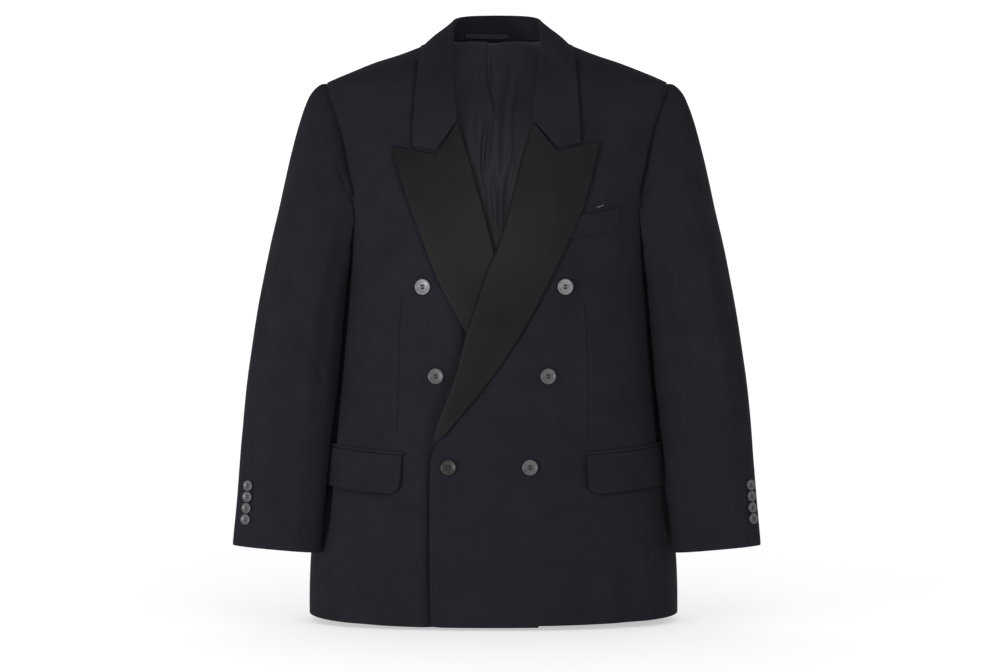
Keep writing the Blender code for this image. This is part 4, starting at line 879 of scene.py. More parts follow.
def collar():
    """Stand and fall round the neck, from the right gorge to the left one."""
    stations = spaced(HALF_COLLAR)
    stations = stations[stations <= 0.99]
    right = collar_section(-1, collar_tracks(-1), np.append(stations, 1.0))
    left = collar_section(1, collar_tracks(1), stations[::-1])
    columns = min(right.shape[1], left.shape[1])
    face = np.concatenate((right[:, :columns], left[:, :columns]))
    normals = grid_normals(face)
    if np.sum(normals[:, 30:] * face[:, 30:]) < 0:
        normals = -normals
    fall = np.clip((np.arange(columns) - 22) / (columns - 30), 0, 1)
    soft = ripple(face[..., 0], face[..., 2] + face[..., 1], 5, 0.05) * fall * (1 - fall)
    face = face + 0.002 * soft[..., None] * normals
    return shell("top_collar", "collar", face, normals, CLOTH, WOOL, WOOL)


# ---------------------------------------------------------------- creases placed one by one
# Soft creases of each front: start x and height, end x and height, half-width, depth.
FRONT_CREASES = {
    1: (
        (0.03, -0.64, 0.175, -0.56, 0.02, -0.0016),
        (0.06, -0.69, 0.19, -0.62, 0.022, 0.0012),
        (-0.03, -0.56, 0.04, -0.6, 0.016, -0.001),
        (-0.055, -0.56, -0.02, -0.65, 0.014, 0.0008),
        (0.02, -0.47, 0.09, -0.44, 0.014, -0.0009),
        (0.12, -0.3, 0.175, -0.25, 0.014, -0.0013),
        (0.14, -0.345, 0.185, -0.3, 0.014, -0.001),
        (0.1, -0.1, 0.17, -0.06, 0.018, -0.001),
        (0.125, -0.15, 0.19, -0.18, 0.016, 0.0009),
        (0.07, -0.56, 0.075, -0.7, 0.018, -0.0009),
        (0.13, -0.56, 0.12, -0.71, 0.02, -0.0012),
    ),
    -1: (
        (-0.175, -0.575, -0.1, -0.64, 0.02, -0.0013),
        (-0.12, -0.56, -0.125, -0.71, 0.018, -0.0011),
        (-0.175, -0.26, -0.115, -0.31, 0.015, -0.0012),
        (-0.185, -0.31, -0.13, -0.35, 0.014, -0.0009),
        (-0.165, -0.06, -0.105, -0.11, 0.018, -0.001),
        (-0.19, -0.18, -0.13, -0.15, 0.016, 0.0009),
        (-0.095, -0.48, -0.165, -0.44, 0.014, -0.0008),
    ),
}
# The dart of each front: x and height down its line, from its upper to its lower point.
DART_ROWS = {
    1: ((-0.300, 0.1096), (-0.355, 0.1135), (-0.420, 0.1155), (-0.490, 0.1165)),
    -1: ((-0.300, -0.1196), (-0.385, -0.1235), (-0.430, -0.1245), (-0.490, -0.1255)),
}
DART_SPREAD, DART_DEPTH = 0.0011, 0.0010
DART_SWELL_SPREAD, DART_SWELL = 0.012, 0.0005
# Fine columns of points beside it, in metres from its line at one height.
DART_COLUMNS = np.array((-1.6, -1.0, -0.7, -0.4, 0.0, 0.4, 0.7, 1.0, 1.6)) * 0.001
DART_LEVEL = -0.40
DART_CLEARED = 0.009          # share of the front's width that they take the place of
DART_BAND = 0.01              # and that keeps its width along the whole line
# Hollows of the right front beside the left one's roll and edge: line, half-width, depth.
UNDERLAP_TROUGHS = (
    (((-0.026, -0.325), (-0.048, -0.4), (-0.079, -0.49), (-0.0805, -0.56)), 0.013, -0.0042),
    (((-0.0795, -0.48), (-0.0815, -0.6), (-0.0815, -0.74)), 0.007, -0.0026),
)
# Widths of the pieces, as laid out in points.
FRONT_WIDTH, BACK_WIDTH, SIDE_WIDTH, LINING_WIDTH = 0.235, 0.225, 0.140, 0.50
UPPER_WIDTH, UNDER_WIDTH = 0.23, 0.16
UNEVENNESS = 0.0006
FRONT_STRENGTH = 1.4          # of the front's creases
# Where round the body each panel's rows of points are spaced, in degrees.
FRONT_MEASURE, BACK_MEASURE, LINING_MEASURE = 40, 140, 160


def dart(side, x, z):
    """The narrow groove and slight swell of a front's dart."""
    line = Track(*zip(*DART_ROWS[side]))
    along = part_way(z, DART_ROWS[side][0][0], DART_ROWS[side][-1][0])
    strength = ramp(along, 0.0, 0.12) * (1 - ramp(along, 0.97, 1.0))
    off = x - line(z)
    return strength * (DART_SWELL * soft_bump(off, DART_SWELL_SPREAD)
                       - DART_DEPTH * soft_bump(off, DART_SPREAD))


def panel(name, replaced, angles, heights, outs, inside=LINING, thickness=CLOTH):
    """A wool piece on the body's surface from grids of angle, height and stand-off."""
    face = on_body(angles, heights, outs)
    normals = grid_normals(face, body_normal(angles, heights))
    return shell(name, replaced, face, normals, thickness, WOOL, inside)


def shoulder_spans(knots, angle):
    """Lengths along the body's surface between heights, at one angle."""
    points = on_body(np.full(len(knots), angle), np.array(knots))
    return list(np.linalg.norm(np.diff(points, axis=0), axis=1))


def seam_angle(height):
    """The angle that half a seam's gap takes at these heights."""
    return 0.5 * SEWN_GAP / (MEAN_RADIUS_SHARE * BODY["half_width"](height))


def hem_height(side, angle):
    """The hem's height round the body."""
    facing = np.cos(angle)
    return HEM_SIDE - np.where(facing > 0, HEM_DROP[side], HEM_RISE_BACK) * facing


def body_heights(side, levels, angles):
    """Heights for a panel's grid: the lowest span bends to the hem's curve."""
    share = part_way(levels, PANEL_LEVELS[0], HEM_SIDE)[:, None]
    return mix(levels[:, None], hem_height(side, angles), share)


# Hollow of the body beside the sleeve's inner edge, seen from the front: x is counted
# away from the centre.
ARM_EDGE_COLUMNS = ("height", "x", "depth")
ARM_EDGE_ROWS = (
    (-0.2, 0.186, 0.0), (-0.265, 0.1905, 0.0036), (-0.37, 0.1998, 0.0046),
    (-0.478, 0.2098, 0.0056), (-0.59, 0.22, 0.007), (-0.64, 0.224, 0.0),
)
ARM_EDGE = tracks(ARM_EDGE_COLUMNS, ARM_EDGE_ROWS)
ARM_EDGE_SPREAD = 0.0080
ARM_EDGE_FRONT = (0.015, 0.040)   # it fades in over this way ahead of the body's middle


def arm_hollow(angles, heights):
    """How far the body's cloth falls away beside the hanging sleeve."""
    place = body_base(angles, heights)
    off = np.abs(place[..., 0]) - ARM_EDGE["x"](heights)
    return ARM_EDGE["depth"](heights) * soft_bump(off, ARM_EDGE_SPREAD) \
        * ramp(-place[..., 1], *ARM_EDGE_FRONT)


def overlying_edges(side):
    """Lines of x and height where the collar, the lapel and the flap end on a front."""
    lapel_edge = [(row[2], row[3]) for row in LAPEL_ROWS[side]]
    collar_edge = [(side * row[7], row[9]) for row in (*COLLAR_END_ROWS[side], *COLLAR_ROWS[:2])]
    columns = np.linspace(0.02, 1.0, 12)
    degrees = mix(FLAP_START, FLAP_END, columns)
    low = flap_top(degrees) - FLAP_DEPTH
    corner = [(FLAP_START, FLAP_TOP_START), (FLAP_START, low[0] + FLAP_CORNER)]
    turns = np.radians([stop[0] for stop in corner] + list(degrees[1:]))
    heights = np.array([stop[1] for stop in corner] + list(low[1:]))
    flap_edge = body_base(side * turns, heights)[:, (0, 2)]
    return lapel_edge, collar_edge, [tuple(point) for point in flap_edge]


EDGE_HOLLOW = 0.0024          # how far a front gives way under the edges that lie on it
EDGE_SPREAD = 0.0062


def front(side, word):
    """A front from its edge, roll and neckline out to side seam, armhole and shoulder."""
    knots = [HEM_SIDE, *PANEL_LEVELS, FRONT_TOP]
    levels = refined(knots, shoulder_spans(knots, side * math.radians(FRONT_MEASURE)))
    base = spaced(FRONT_WIDTH)
    start = angle_of(FRONT_INNER[side](levels), levels)[:, None]
    end = (side * (np.radians(FRONT_EDGE(levels)) - seam_angle(levels)))[:, None]
    line = Track(*zip(*DART_ROWS[side]))(levels)
    crossing = (angle_of(line, levels) - start[:, 0]) / (end - start)[:, 0]
    crossing = np.clip(crossing, 0.25, 0.75)
    middle = float(np.interp(DART_LEVEL, levels, crossing))
    base = np.sort(np.concatenate((base[np.abs(base - middle) > DART_CLEARED],
                                   middle + DART_COLUMNS / FRONT_WIDTH)))
    shares = np.array([np.interp(base, (0, middle - DART_BAND, middle + DART_BAND, 1),
                                 (0, at - DART_BAND, at + DART_BAND, 1)) for at in crossing])
    angles = mix(start, end, shares)
    heights = body_heights(side, levels, angles)
    x = body_base(angles, heights)[..., 0]
    calm = off_edges(base, 0.06) * ramp(levels, HEM_SIDE, HEM_SIDE + 0.02)[:, None]
    soft = creases(FRONT_CREASES[side], x, heights) \
        + UNEVENNESS * ripple(x, heights, 3 + side, 0.06)
    to_armhole = part_way((1 - base) * FRONT_WIDTH, GROOVE_WIDTH, 0.0)
    sunk = GROOVE_DEPTH * to_armhole ** 2 * groove_strength(heights) \
        + EDGE_HOLLOW * along_lines(overlying_edges(side), x, heights, EDGE_SPREAD) \
        + arm_hollow(angles, heights)
    for stops, spread, depth in UNDERLAP_TROUGHS if side < 0 else ():
        sunk = sunk - trough(stops, x, heights, spread, depth)
    outs = layer(side, x, heights) + FRONT_STRENGTH * calm * soft + dart(side, x, heights) - sunk
    return panel(f"wool_front_{word}", f"front_{word}", angles, heights, outs)


CENTRE_SEAM_SHARE = 0.12      # the centre-back seam is sewn shut but for this share of a seam's gap


def back(side, word):
    """Half of the back, from the centre seam out to side seam, armhole and shoulder."""
    knots = [HEM_SIDE, *PANEL_LEVELS, NECK_HEIGHT]
    levels = refined(knots, shoulder_spans(knots, side * math.radians(BACK_MEASURE)))
    shares = spaced(BACK_WIDTH)
    start = (math.pi - CENTRE_SEAM_SHARE * seam_angle(levels))[:, None]
    end = (np.radians(BACK_EDGE(levels)) + seam_angle(levels))[:, None]
    angles = side * mix(start, end, shares)
    heights = body_heights(side, levels, angles)
    x = body_base(angles, heights)[..., 0]
    soft = creases(BACK_CREASES[side], x, heights) \
        + UNEVENNESS * ripple(x, heights, 23 + side, 0.07)
    return panel(f"wool_back_{word}", f"back_{word}", angles, heights,
                 off_edges(shares, 0.05) * soft)


BACK_CREASES = {
    1: (
        (0.06, -0.1, 0.17, -0.15, 0.022, -0.0014),
        (0.11, -0.2, 0.18, -0.29, 0.018, -0.0015),
        (0.03, -0.33, 0.12, -0.37, 0.018, -0.0014),
        (0.025, -0.385, 0.13, -0.41, 0.016, -0.0012),
        (0.06, -0.45, 0.08, -0.66, 0.024, -0.0016),
        (0.13, -0.48, 0.14, -0.7, 0.022, -0.0014),
        (0.02, -0.04, 0.11, -0.05, 0.012, -0.0008),
    ),
    -1: (
        (-0.17, -0.14, -0.055, -0.11, 0.022, -0.0013),
        (-0.185, -0.28, -0.105, -0.21, 0.018, -0.0014),
        (-0.125, -0.365, -0.03, -0.34, 0.018, -0.0013),
        (-0.12, -0.42, -0.025, -0.395, 0.016, -0.0012),
        (-0.075, -0.46, -0.055, -0.67, 0.024, -0.0015),
        (-0.14, -0.47, -0.125, -0.69, 0.022, -0.0015),
        (-0.1, -0.055, -0.02, -0.045, 0.012, -0.0008),
    ),
}
SIDE_CREASES = (
    (-0.03, -0.33, 0.03, -0.36, 0.014, -0.0012),
    (-0.035, -0.38, 0.035, -0.4, 0.014, -0.0012),
    (-0.01, -0.42, 0.0, -0.66, 0.018, -0.0012),
)


TURNED_IN = (0.0003, 0.0020, 0.0045)    # seam allowance of a side panel past its seams
SIDE_RADIUS = 0.11
UNDER_ROOM = 0.0003


def side_body(side, word):
    """The panel under the arm, between front and back, up to the floor of the armhole."""
    low_levels = [level for level in PANEL_LEVELS if level < -0.23]
    knots = [HEM_SIDE, *low_levels, CHEST_SEAM]
    levels = refined(knots, [abs(b - a) for a, b in zip(knots, knots[1:])])
    shares = spaced(SIDE_WIDTH)
    start = (np.radians(FRONT_EDGE(levels)) + seam_angle(levels))[:, None]
    end = (np.radians(BACK_EDGE(levels)) - seam_angle(levels))[:, None]
    angles = mix(start, end, shares)
    heights = body_heights(side, levels, side * angles)
    top_start = low_levels[-1]
    share = part_way(levels, top_start, CHEST_SEAM)[:, None]
    top = UNDERARM(np.degrees(angles[-1]))
    heights = np.where(share > 0, mix(top_start, top, share), heights)
    y = body_base(side * angles, heights)[..., 1]
    outs = off_edges(shares, 0.08) * np.minimum(creases(SIDE_CREASES, y, heights), 0.0) \
        - arm_hollow(side * angles, heights)
    # The seam allowances: columns past both seams, under the neighbouring panels.
    count = len(TURNED_IN)
    past = np.array(TURNED_IN) / SIDE_RADIUS
    angles, heights, outs = (np.pad(grid, ((0, 0), (count, count)), mode="edge")
                             for grid in (angles, heights, outs))
    angles[:, :count] -= past[::-1]
    angles[:, -count:] += past
    outs[:, :count] -= CLOTH + UNDER_ROOM
    outs[:, -count:] -= CLOTH + UNDER_ROOM
    return panel(f"wool_side_{word}", f"side_{word}", side * angles, heights, outs)


# Fine folds of the lining, seen down the neck: x and height of each end, spread, depth.
LINING_CREASES = (
    (-0.012, 0.032, 0.007, -0.072, 0.0036, 0.005),
    (-0.009, -0.056, -0.0165, -0.16, 0.004, 0.005),
    (0.011, 0.012, 0.013, -0.22, 0.011, 0.0034),
    (-0.027, 0.012, -0.019, -0.22, 0.012, 0.0036),
    (0.029, 0.004, 0.023, -0.15, 0.007, 0.0016),
    (-0.042, -0.01, -0.03, -0.16, 0.008, 0.0018),
    (-0.005, -0.09, -0.001, -0.24, 0.006, 0.0022),
    (0.02, -0.1, 0.01, -0.27, 0.006, 0.0026),
)


LINING_TOP = (0.0010, 0.0040)  # how far its top edge reaches in and up over the back's edge


PLEAT_REACH = 0.036           # share of the lining's width each side of its centre, in fine columns


def back_lining():
    """The lining of the back with its ease pleat, just inside the back panels."""
    knots = [LINING_BOTTOM, *LINING_LEVELS, NECK_HEIGHT - 0.0008]
    levels = refined(knots, shoulder_spans(knots, math.radians(LINING_MEASURE)), 0.004)
    levels = np.insert(levels, len(levels) - 1, levels[-1] - 0.0003)
    shares = spaced(LINING_WIDTH, SLEEVE_STEP)
    fine = 0.5 + np.linspace(-PLEAT_REACH, PLEAT_REACH, 31)
    beside = np.abs(shares - 0.5) > PLEAT_REACH + 0.0012
    shares = np.sort(np.concatenate((shares[beside], fine)))
    edge = np.radians(BACK_EDGE(levels) + LINING_INSET)[:, None]
    angles = mix(edge, 2 * math.pi - edge, shares)
    heights = np.broadcast_to(levels[:, None], angles.shape)
    from_centre = np.degrees(angles) - 180 - PLEAT_CENTRE
    rise = PLEAT_DEPTH * soft_bump(from_centre, PLEAT_SPREAD)
    fade = 1 - 0.7 * ramp(-heights, 0.10, 0.45)
    x = body_base(angles, heights)[..., 0]
    folds = np.maximum(creases(LINING_CREASES, x, heights), -0.0012)
    outs = -CLOTH - LINING_ROOM - rise * fade - folds
    face = on_body(angles, heights, outs)
    top = ramp(heights, NECK_HEIGHT - 0.022, NECK_HEIGHT) * (1 - ramp(np.abs(x), 0.035, 0.060))
    face = face + top[..., None] * np.array((0.0, -LINING_TOP[0], LINING_TOP[1]))
    normals = grid_normals(face, body_normal(angles, heights))
    return shell("lining_back", "back_lining", face, normals, LINING_CLOTH, LINING, LINING)


# ---------------------------------------------------------------- sleeves
def armhole_table(side):
    """Ring angles, body angles and heights round the armhole."""
    heights = [SHOULDER_TIP + drop for drop in (0.0, -0.0005, -0.002, -0.006, -0.014)]
    heights += list(np.linspace(-0.060, CHEST_SEAM, 8))
    stops = [(min(float(FRONT_EDGE(h)), 90.0), h) for h in heights]
    stops += [(angle, height) for angle, height in UNDERARM_ROWS[1:-1]]
    stops += [(max(float(BACK_EDGE(h)), 90.0), h) for h in reversed(heights)][:-1]
    angles = np.array([stop[0] for stop in stops])
    heights = np.array([stop[1] for stop in stops])
    points = body_base(side * np.radians(angles), heights)
    down = part_way(heights, SHOULDER_TIP, ARMHOLE_FLOOR)
    ring = np.degrees(np.arccos(1 - 2 * down))
    ring = np.where(points[:, 1] <= 1e-9, ring, 360 - ring)
    order = np.argsort(ring)
    return (np.append(ring[order], 360.0), np.append(angles[order], angles[order][0]),
            np.append(heights[order], heights[order][0]))


ARMHOLE = {side: armhole_table(side) for side in (1, -1)}


def armhole_point(side, turn):
    """Edge points and their body normals at ring angles (0 at the tip, 180 at the floor)."""
    ring, angles, heights = ARMHOLE[side]
    angle = side * np.radians(np.interp(turn % 360, ring, angles))
    height = np.interp(turn % 360, ring, heights)
    return body_base(angle, height), body_normal(angle, height)


def away_from_seam(side, turn, normal):
    """Directions along the cloth, square to the armhole and out from the body's panels."""
    way = armhole_point(side, turn + 3)[0] - armhole_point(side, turn - 3)[0]
    return side * unit(np.cross(normal, unit(way)))


SLEEVE = [Track(range(len(SLEEVE_ROWS)), column) for column in zip(*SLEEVE_ROWS)]


def sleeve_points(side, ring, turn):
    """Points on a sleeve at rings and ring angles."""
    outer_x, outer_z, inner_x, inner_z, centre_y, half_depth, own = (t(ring) for t in SLEEVE)
    zero = 0 * outer_x
    outer = np.stack((side * outer_x, zero, outer_z), axis=-1)
    inner = np.stack((side * inner_x + (1 - own) * BODY["centre"](inner_z), zero, inner_z), axis=-1)
    power = 2 / SLEEVE_SQUARENESS
    across = signed_power(np.cos(np.radians(turn)), power)[..., None]
    ahead = signed_power(np.sin(np.radians(turn)), power)[..., None]
    forward = np.array((0.0, -1.0, 0.0))
    centre = mix(outer, inner, 0.5) - centre_y[..., None] * forward
    folds = turning_folds(SLEEVE_FOLD_ROWS, ring, turn,
                          lambda along: np.sin(math.pi * along) ** 0.7)
    reach = (1 + folds / half_depth)[..., None]
    half_width = (outer - inner) / 2
    shaped = centre + reach * (across * half_width + ahead * half_depth[..., None] * forward)
    wanted = mix(SLEEVE_ROOM, SLEEVE_ROOM_FLAP, ramp(shaped[..., 2], *FLAP_ROOM_HEIGHTS))
    seam, normal = armhole_point(side, turn)
    first = [float(SLEEVE[k](0)) for k in range(6)]
    tip = np.array((side * first[0], 0.0, first[1]))
    floor = np.array((side * first[2] + float(BODY["centre"](first[3])), 0.0, first[3]))
    start = mix(tip, floor, 0.5) + across * (tip - floor) / 2 + ahead * first[5] * forward
    moved = seam + (shaped - start)
    low = ramp(np.abs(turn % 360 - 180), 75.0, 50.0)
    near = np.clip(1 - ring, 0.0, 1.0)
    sunk = GROOVE_DEPTH * groove_strength(seam[..., 2]) * ramp(-seam[..., 1], 0.0, 0.02)
    root = away_from_seam(side, turn, normal) * SEWN_EDGE \
        + normal * (SEWN_LIFT * low - sunk)[..., None]
    point = mix(moved + root * near[..., None], shaped, own[..., None])
    room = np.minimum(wanted, SLEEVE_ROOM_GROWTH * ring) - sunk * near
    return np.where((ring > 0.05)[..., None], push_clear(point, room), point)


# Soft creases of a sleeve: ring and ring angle of each end, half-width in degrees, depth.
SLEEVE_CREASES = {
    1: (
        (9.0, 60.0, 11.0, 130.0, 12.0, -0.0016), (10.5, 70.0, 12.5, 135.0, 10.0, -0.0014),
        (8.0, 150.0, 10.0, 100.0, 12.0, -0.0014), (3.0, 60.0, 6.0, 100.0, 14.0, -0.0014),
        (12.0, 40.0, 15.5, 60.0, 12.0, -0.001), (4.0, -70.0, 8.0, -100.0, 16.0, -0.0016),
        (2.0, 62.0, 13.0, 48.0, 9.0, -0.0016), (4.5, 108.0, 15.0, 92.0, 10.0, -0.0015),
        (10.0, -60.0, 12.0, -110.0, 14.0, -0.0014), (12.5, 110.0, 15.5, 95.0, 12.0, -0.0012),
    ),
    -1: (
        (8.5, 55.0, 10.5, 125.0, 12.0, -0.0015), (10.0, 75.0, 12.0, 140.0, 10.0, -0.0015),
        (7.5, 145.0, 9.5, 95.0, 12.0, -0.0012), (2.5, 65.0, 6.5, 95.0, 14.0, -0.0015),
        (12.0, 35.0, 15.0, 62.0, 12.0, -0.0011), (4.5, -65.0, 8.5, -105.0, 16.0, -0.0015),
        (2.5, 58.0, 12.5, 50.0, 10.0, -0.0016), (5.0, 104.0, 15.0, 95.0, 9.0, -0.0014),
        (10.5, -65.0, 12.5, -105.0, 14.0, -0.0014), (13.0, 115.0, 15.5, 98.0, 12.0, -0.001),
    ),
}


def sleeve_relief(side, ring, turn):
    """Small soft creases, the rope of the sleeve head and slight unevenness."""
    rows = [(t0, t1, spread, r0, r1, depth)
            for r0, t0, r1, t1, spread, depth in SLEEVE_CREASES[side]]
    total = turning_folds(rows, ring, turn, lambda along: np.sin(math.pi * along))
    head = soft_bump((turn + 180) % 360 - 180, 95.0)
    total = total + 0.0010 * soft_bump(ring - 0.55, 0.55) * head
    total = total + 0.0005 * ripple(turn / 700, -ring / 30, 41 + side, 0.05) * ramp(ring, 1.0, 3.0)
    return total * (1 - 0.9 * soft_bump(turn % 360 - 180, 70.0))


ALLOWANCE = 0.0040            # cloth of the sleeve turned in at the armhole


def seam_allowance(side, turn, share):
    """How far the sleeve's turned-in edge lies from its seam, under the body's panels."""
    normal = armhole_point(side, turn)[1]
    return -away_from_seam(side, turn, normal) * ALLOWANCE * share \
        - normal * (CLOTH + 0.0005) * min(1.0, 4 * share)


FACED_RING = 8.0              # the sleeve's inner side is wool down to this ring


def sleeve_piece(side, word, upper):
    """The upper or the under sleeve, from the armhole to the cuff."""
    seams = tracks(SLEEVE_SEAM_COLUMNS, SLEEVE_SEAM_ROWS)
    count = len(SLEEVE_ROWS)
    middle = np.array([(side * (r[0] + r[2]) / 2, r[4], (r[1] + r[3]) / 2) for r in SLEEVE_ROWS])
    outer = np.array([r[:2] for r in SLEEVE_ROWS])
    spans = np.maximum(np.linalg.norm(np.diff(middle, axis=0), axis=1),
                       np.linalg.norm(np.diff(outer, axis=0), axis=1))
    rings = refined(range(count), spans, RING_STEP)
    start, end = seams["hindarm"](rings), seams["inseam"](rings)
    gap = np.degrees(0.5 * SEWN_GAP / SLEEVE_RADIUS)
    shares = spaced(UPPER_WIDTH if upper else UNDER_WIDTH, SLEEVE_STEP)
    if not upper:
        start, end = end, start + 360
        shares = mix(shares, shares ** 1.6, 0.5 * (1 - ramp(rings, 2.0, 5.0))[:, None])
    turns = mix((start + gap)[:, None], (end - gap)[:, None], shares)
    ring_grid = np.broadcast_to(rings[:, None], turns.shape)
    face = sleeve_points(side, ring_grid, turns)
    hub = np.stack([np.interp(rings, range(count), values) for values in middle.T], axis=-1)
    normals = grid_normals(face)
    low = slice(len(rings) // 2, None)
    if np.sum(normals[low] * (face - hub[:, None])[low]) < 0:
        normals = -normals
    face = face + sleeve_relief(side, ring_grid, turns)[..., None] * normals
    turned_in = np.stack([seam_allowance(side, turns[0], share) for share in (1.0, 0.5, 0.12)])
    face = np.concatenate((face[:1] + turned_in, face))
    wanted = np.concatenate((np.repeat(normals[:1], 3, axis=0), normals))
    kind = "upper" if upper else "under"
    return shell(f"wool_sleeve_{kind}_{word}", f"sleeve_{kind}_{word}", face,
                 blurred(grid_normals(face, wanted)), CLOTH, WOOL, LINING,
                 3 + int(np.searchsorted(rings, FACED_RING)))


def sleeve_upper(side, word):
    """The upper sleeve."""
    return sleeve_piece(side, word, True)


def sleeve_under(side, word):
    """The under sleeve."""
    return sleeve_piece(side, word, False)


# ---------------------------------------------------------------- pockets and loop
def flap_top(degrees):
    """Height of the pocket's mouth at body angles."""
    return mix(FLAP_TOP_START, FLAP_TOP_END, (degrees - FLAP_START) / (FLAP_END - FLAP_START))


def lying_on(side, angles, heights, room):
    """Stand-off on a front for a piece that lies on it."""
    x = body_base(angles, heights)[..., 0]
    return layer(side, x, heights) + room


def flap(side, word):
    """A hip pocket flap with its front lower corner rounded."""
    columns = spaced(0.108, 0.0022)
    down = spaced(FLAP_DEPTH, 0.0024)
    degrees = mix(FLAP_START, FLAP_END, columns)
    from_edge = np.radians(degrees - FLAP_START) * FLAP_REACH
    inset = np.clip(FLAP_CORNER - from_edge, 0.0, FLAP_CORNER)
    drop = FLAP_DEPTH - FLAP_CORNER + np.sqrt(FLAP_CORNER ** 2 - inset ** 2)
    heights = flap_top(degrees)[None, :] - SEAM_GAP - down[:, None] * drop[None, :]
    angles = np.broadcast_to(side * np.radians(degrees), heights.shape)
    curl = 0.0012 * ramp(down, 0.3, 1.0)[:, None] * (1 - ramp(columns, 0.3, 0.75))[None, :]
    outs = lying_on(side, angles, heights, LAYER_GAP + FLAP_CLOTH) + curl
    return panel(f"wool_flap_{word}", f"flap_{word}", angles, heights, outs, LINING, FLAP_CLOTH)


def jetting(side, word):
    """The narrow bound edge above a hip pocket flap."""
    degrees = mix(FLAP_START - JETTING_OVERHANG, FLAP_END + JETTING_OVERHANG, spaced(0.11, 0.003))
    rise = spaced(0.0105, 0.0006) * JETTING_HEIGHT
    heights = flap_top(degrees)[None, :] + rise[:, None]
    angles = np.broadcast_to(side * np.radians(degrees), heights.shape)
    swell = 0.0004 * np.sin(math.pi * rise / JETTING_HEIGHT)[:, None]
    outs = lying_on(side, angles, heights, LAYER_GAP + JETTING_CLOTH) + swell
    return panel(f"wool_jetting_{word}", f"jetting_{word}", angles, heights, outs, WOOL,
                 JETTING_CLOTH)


def breast_welt():
    """The slanted breast welt on the left front, its inner end under the lapel."""
    inner, outer = WELT_ROWS
    along = spaced(0.071, 0.0022)[None, :]
    share = spaced(0.028, 0.0018)[:, None]
    x = mix(inner[0], outer[0], along)
    heights = mix(mix(inner[2], outer[2], along), mix(inner[1], outer[1], along), share)
    x = np.broadcast_to(x, heights.shape)
    outs = layer(1, x, heights) + SEAM_GAP + WELT_CLOTH + 0.0004 * ramp(share, 0.5, 1.0)
    return panel("wool_breast_welt", "breast_welt", angle_of(x, heights), heights, outs, WOOL,
                 WELT_CLOTH)


def hanger_loop():
    """The flat loop across the inside of the stand, for a hook."""
    along, rise = spaced(0.057, 0.0015), spaced(0.011, 0.0006)
    x = mix(LOOP_START_X, LOOP_END_X, along)
    across = np.abs(x / STAND_HALF_WIDTH) ** STAND_ROUNDNESS
    depth = STAND_DEPTH * (1 - across) ** (1 / STAND_ROUNDNESS)
    y = depth - LOOP_SEAT - LOOP_CLOTH - LOOP_BOW * np.sin(math.pi * along)
    face = np.stack(np.broadcast_arrays(x, y, mix(*LOOP_HEIGHTS, rise)[:, None]), axis=-1)
    face[..., 1] -= 0.0002 * np.sin(math.pi * rise)[:, None]
    normals = grid_normals(face, (0.0, -1.0, 0.0))
    return shell("loop_hanger", "hanger_loop", face, normals, LOOP_CLOTH, TAPE, TAPE)


# ---------------------------------------------------------------- buttons
BUTTON_DETAIL = 40
# Radius and height from a button's back edge over its rim into its dish.
FRONT_BUTTON_LINE = ((0.0070, 0.0000), (0.0088, 0.0002), (0.0097, 0.0010), (0.0100, 0.0018),
                     (0.0098, 0.0027), (0.0092, 0.0033), (0.0084, 0.0034), (0.0078, 0.0031),
                     (0.0073, 0.0027), (0.0066, 0.0025))
CUFF_BUTTON_LINE = ((0.0048, 0.0000), (0.0060, 0.0002), (0.0066, 0.0008), (0.0068, 0.0014),
                    (0.0066, 0.0021), (0.0061, 0.0025), (0.0055, 0.0026), (0.005, 0.0023),
                    (0.0045, 0.002))


def turned_disc(line, sides):
    """A closed disc turned from a line of radius and height."""
    disc = bmesh.new()
    turns = [2 * math.pi * k / sides for k in range(sides)]
    rings = [[disc.verts.new((radius * math.cos(a), radius * math.sin(a), height)) for a in turns]
             for radius, height in line]
    tube_faces(disc, rings)
    disc.faces.new(rings[0][::-1])
    disc.faces.new(rings[-1])
    return disc


def tube_faces(target, rings):
    """The faces between neighbouring rings of corners, new in a mesh being made."""
    return [target.faces.new((low[k], low[(k + 1) % len(low)], high[(k + 1) % len(low)], high[k]))
            for low, high in zip(rings, rings[1:]) for k in range(len(low))]


def thread_tube(target, points, radius, sides=6, material_index=0):
    """A round thread along a line of points, added to a mesh being made."""
    points = np.array(points, float)
    rings = []
    for point, way in zip(points, unit(np.gradient(points, axis=0))):
        aside = np.cross(way, (0.0, 0.0, 1.0))
        if np.linalg.norm(aside) < 1e-3:
            aside = np.cross(way, (0.0, 1.0, 0.0))
        aside = unit(aside)
        above = np.cross(aside, way)
        rings.append([target.verts.new(point + radius * (math.cos(a) * aside + math.sin(a) * above))
                      for a in np.linspace(0, 2 * math.pi, sides, endpoint=False)])
    tube = tube_faces(target, rings[::-1])
    for made in tube:
        made.smooth = True
    ends = [target.faces.new(rings[0]), target.faces.new(rings[-1][::-1])]
    for made in (*tube, *ends):
        made.material_index = material_index


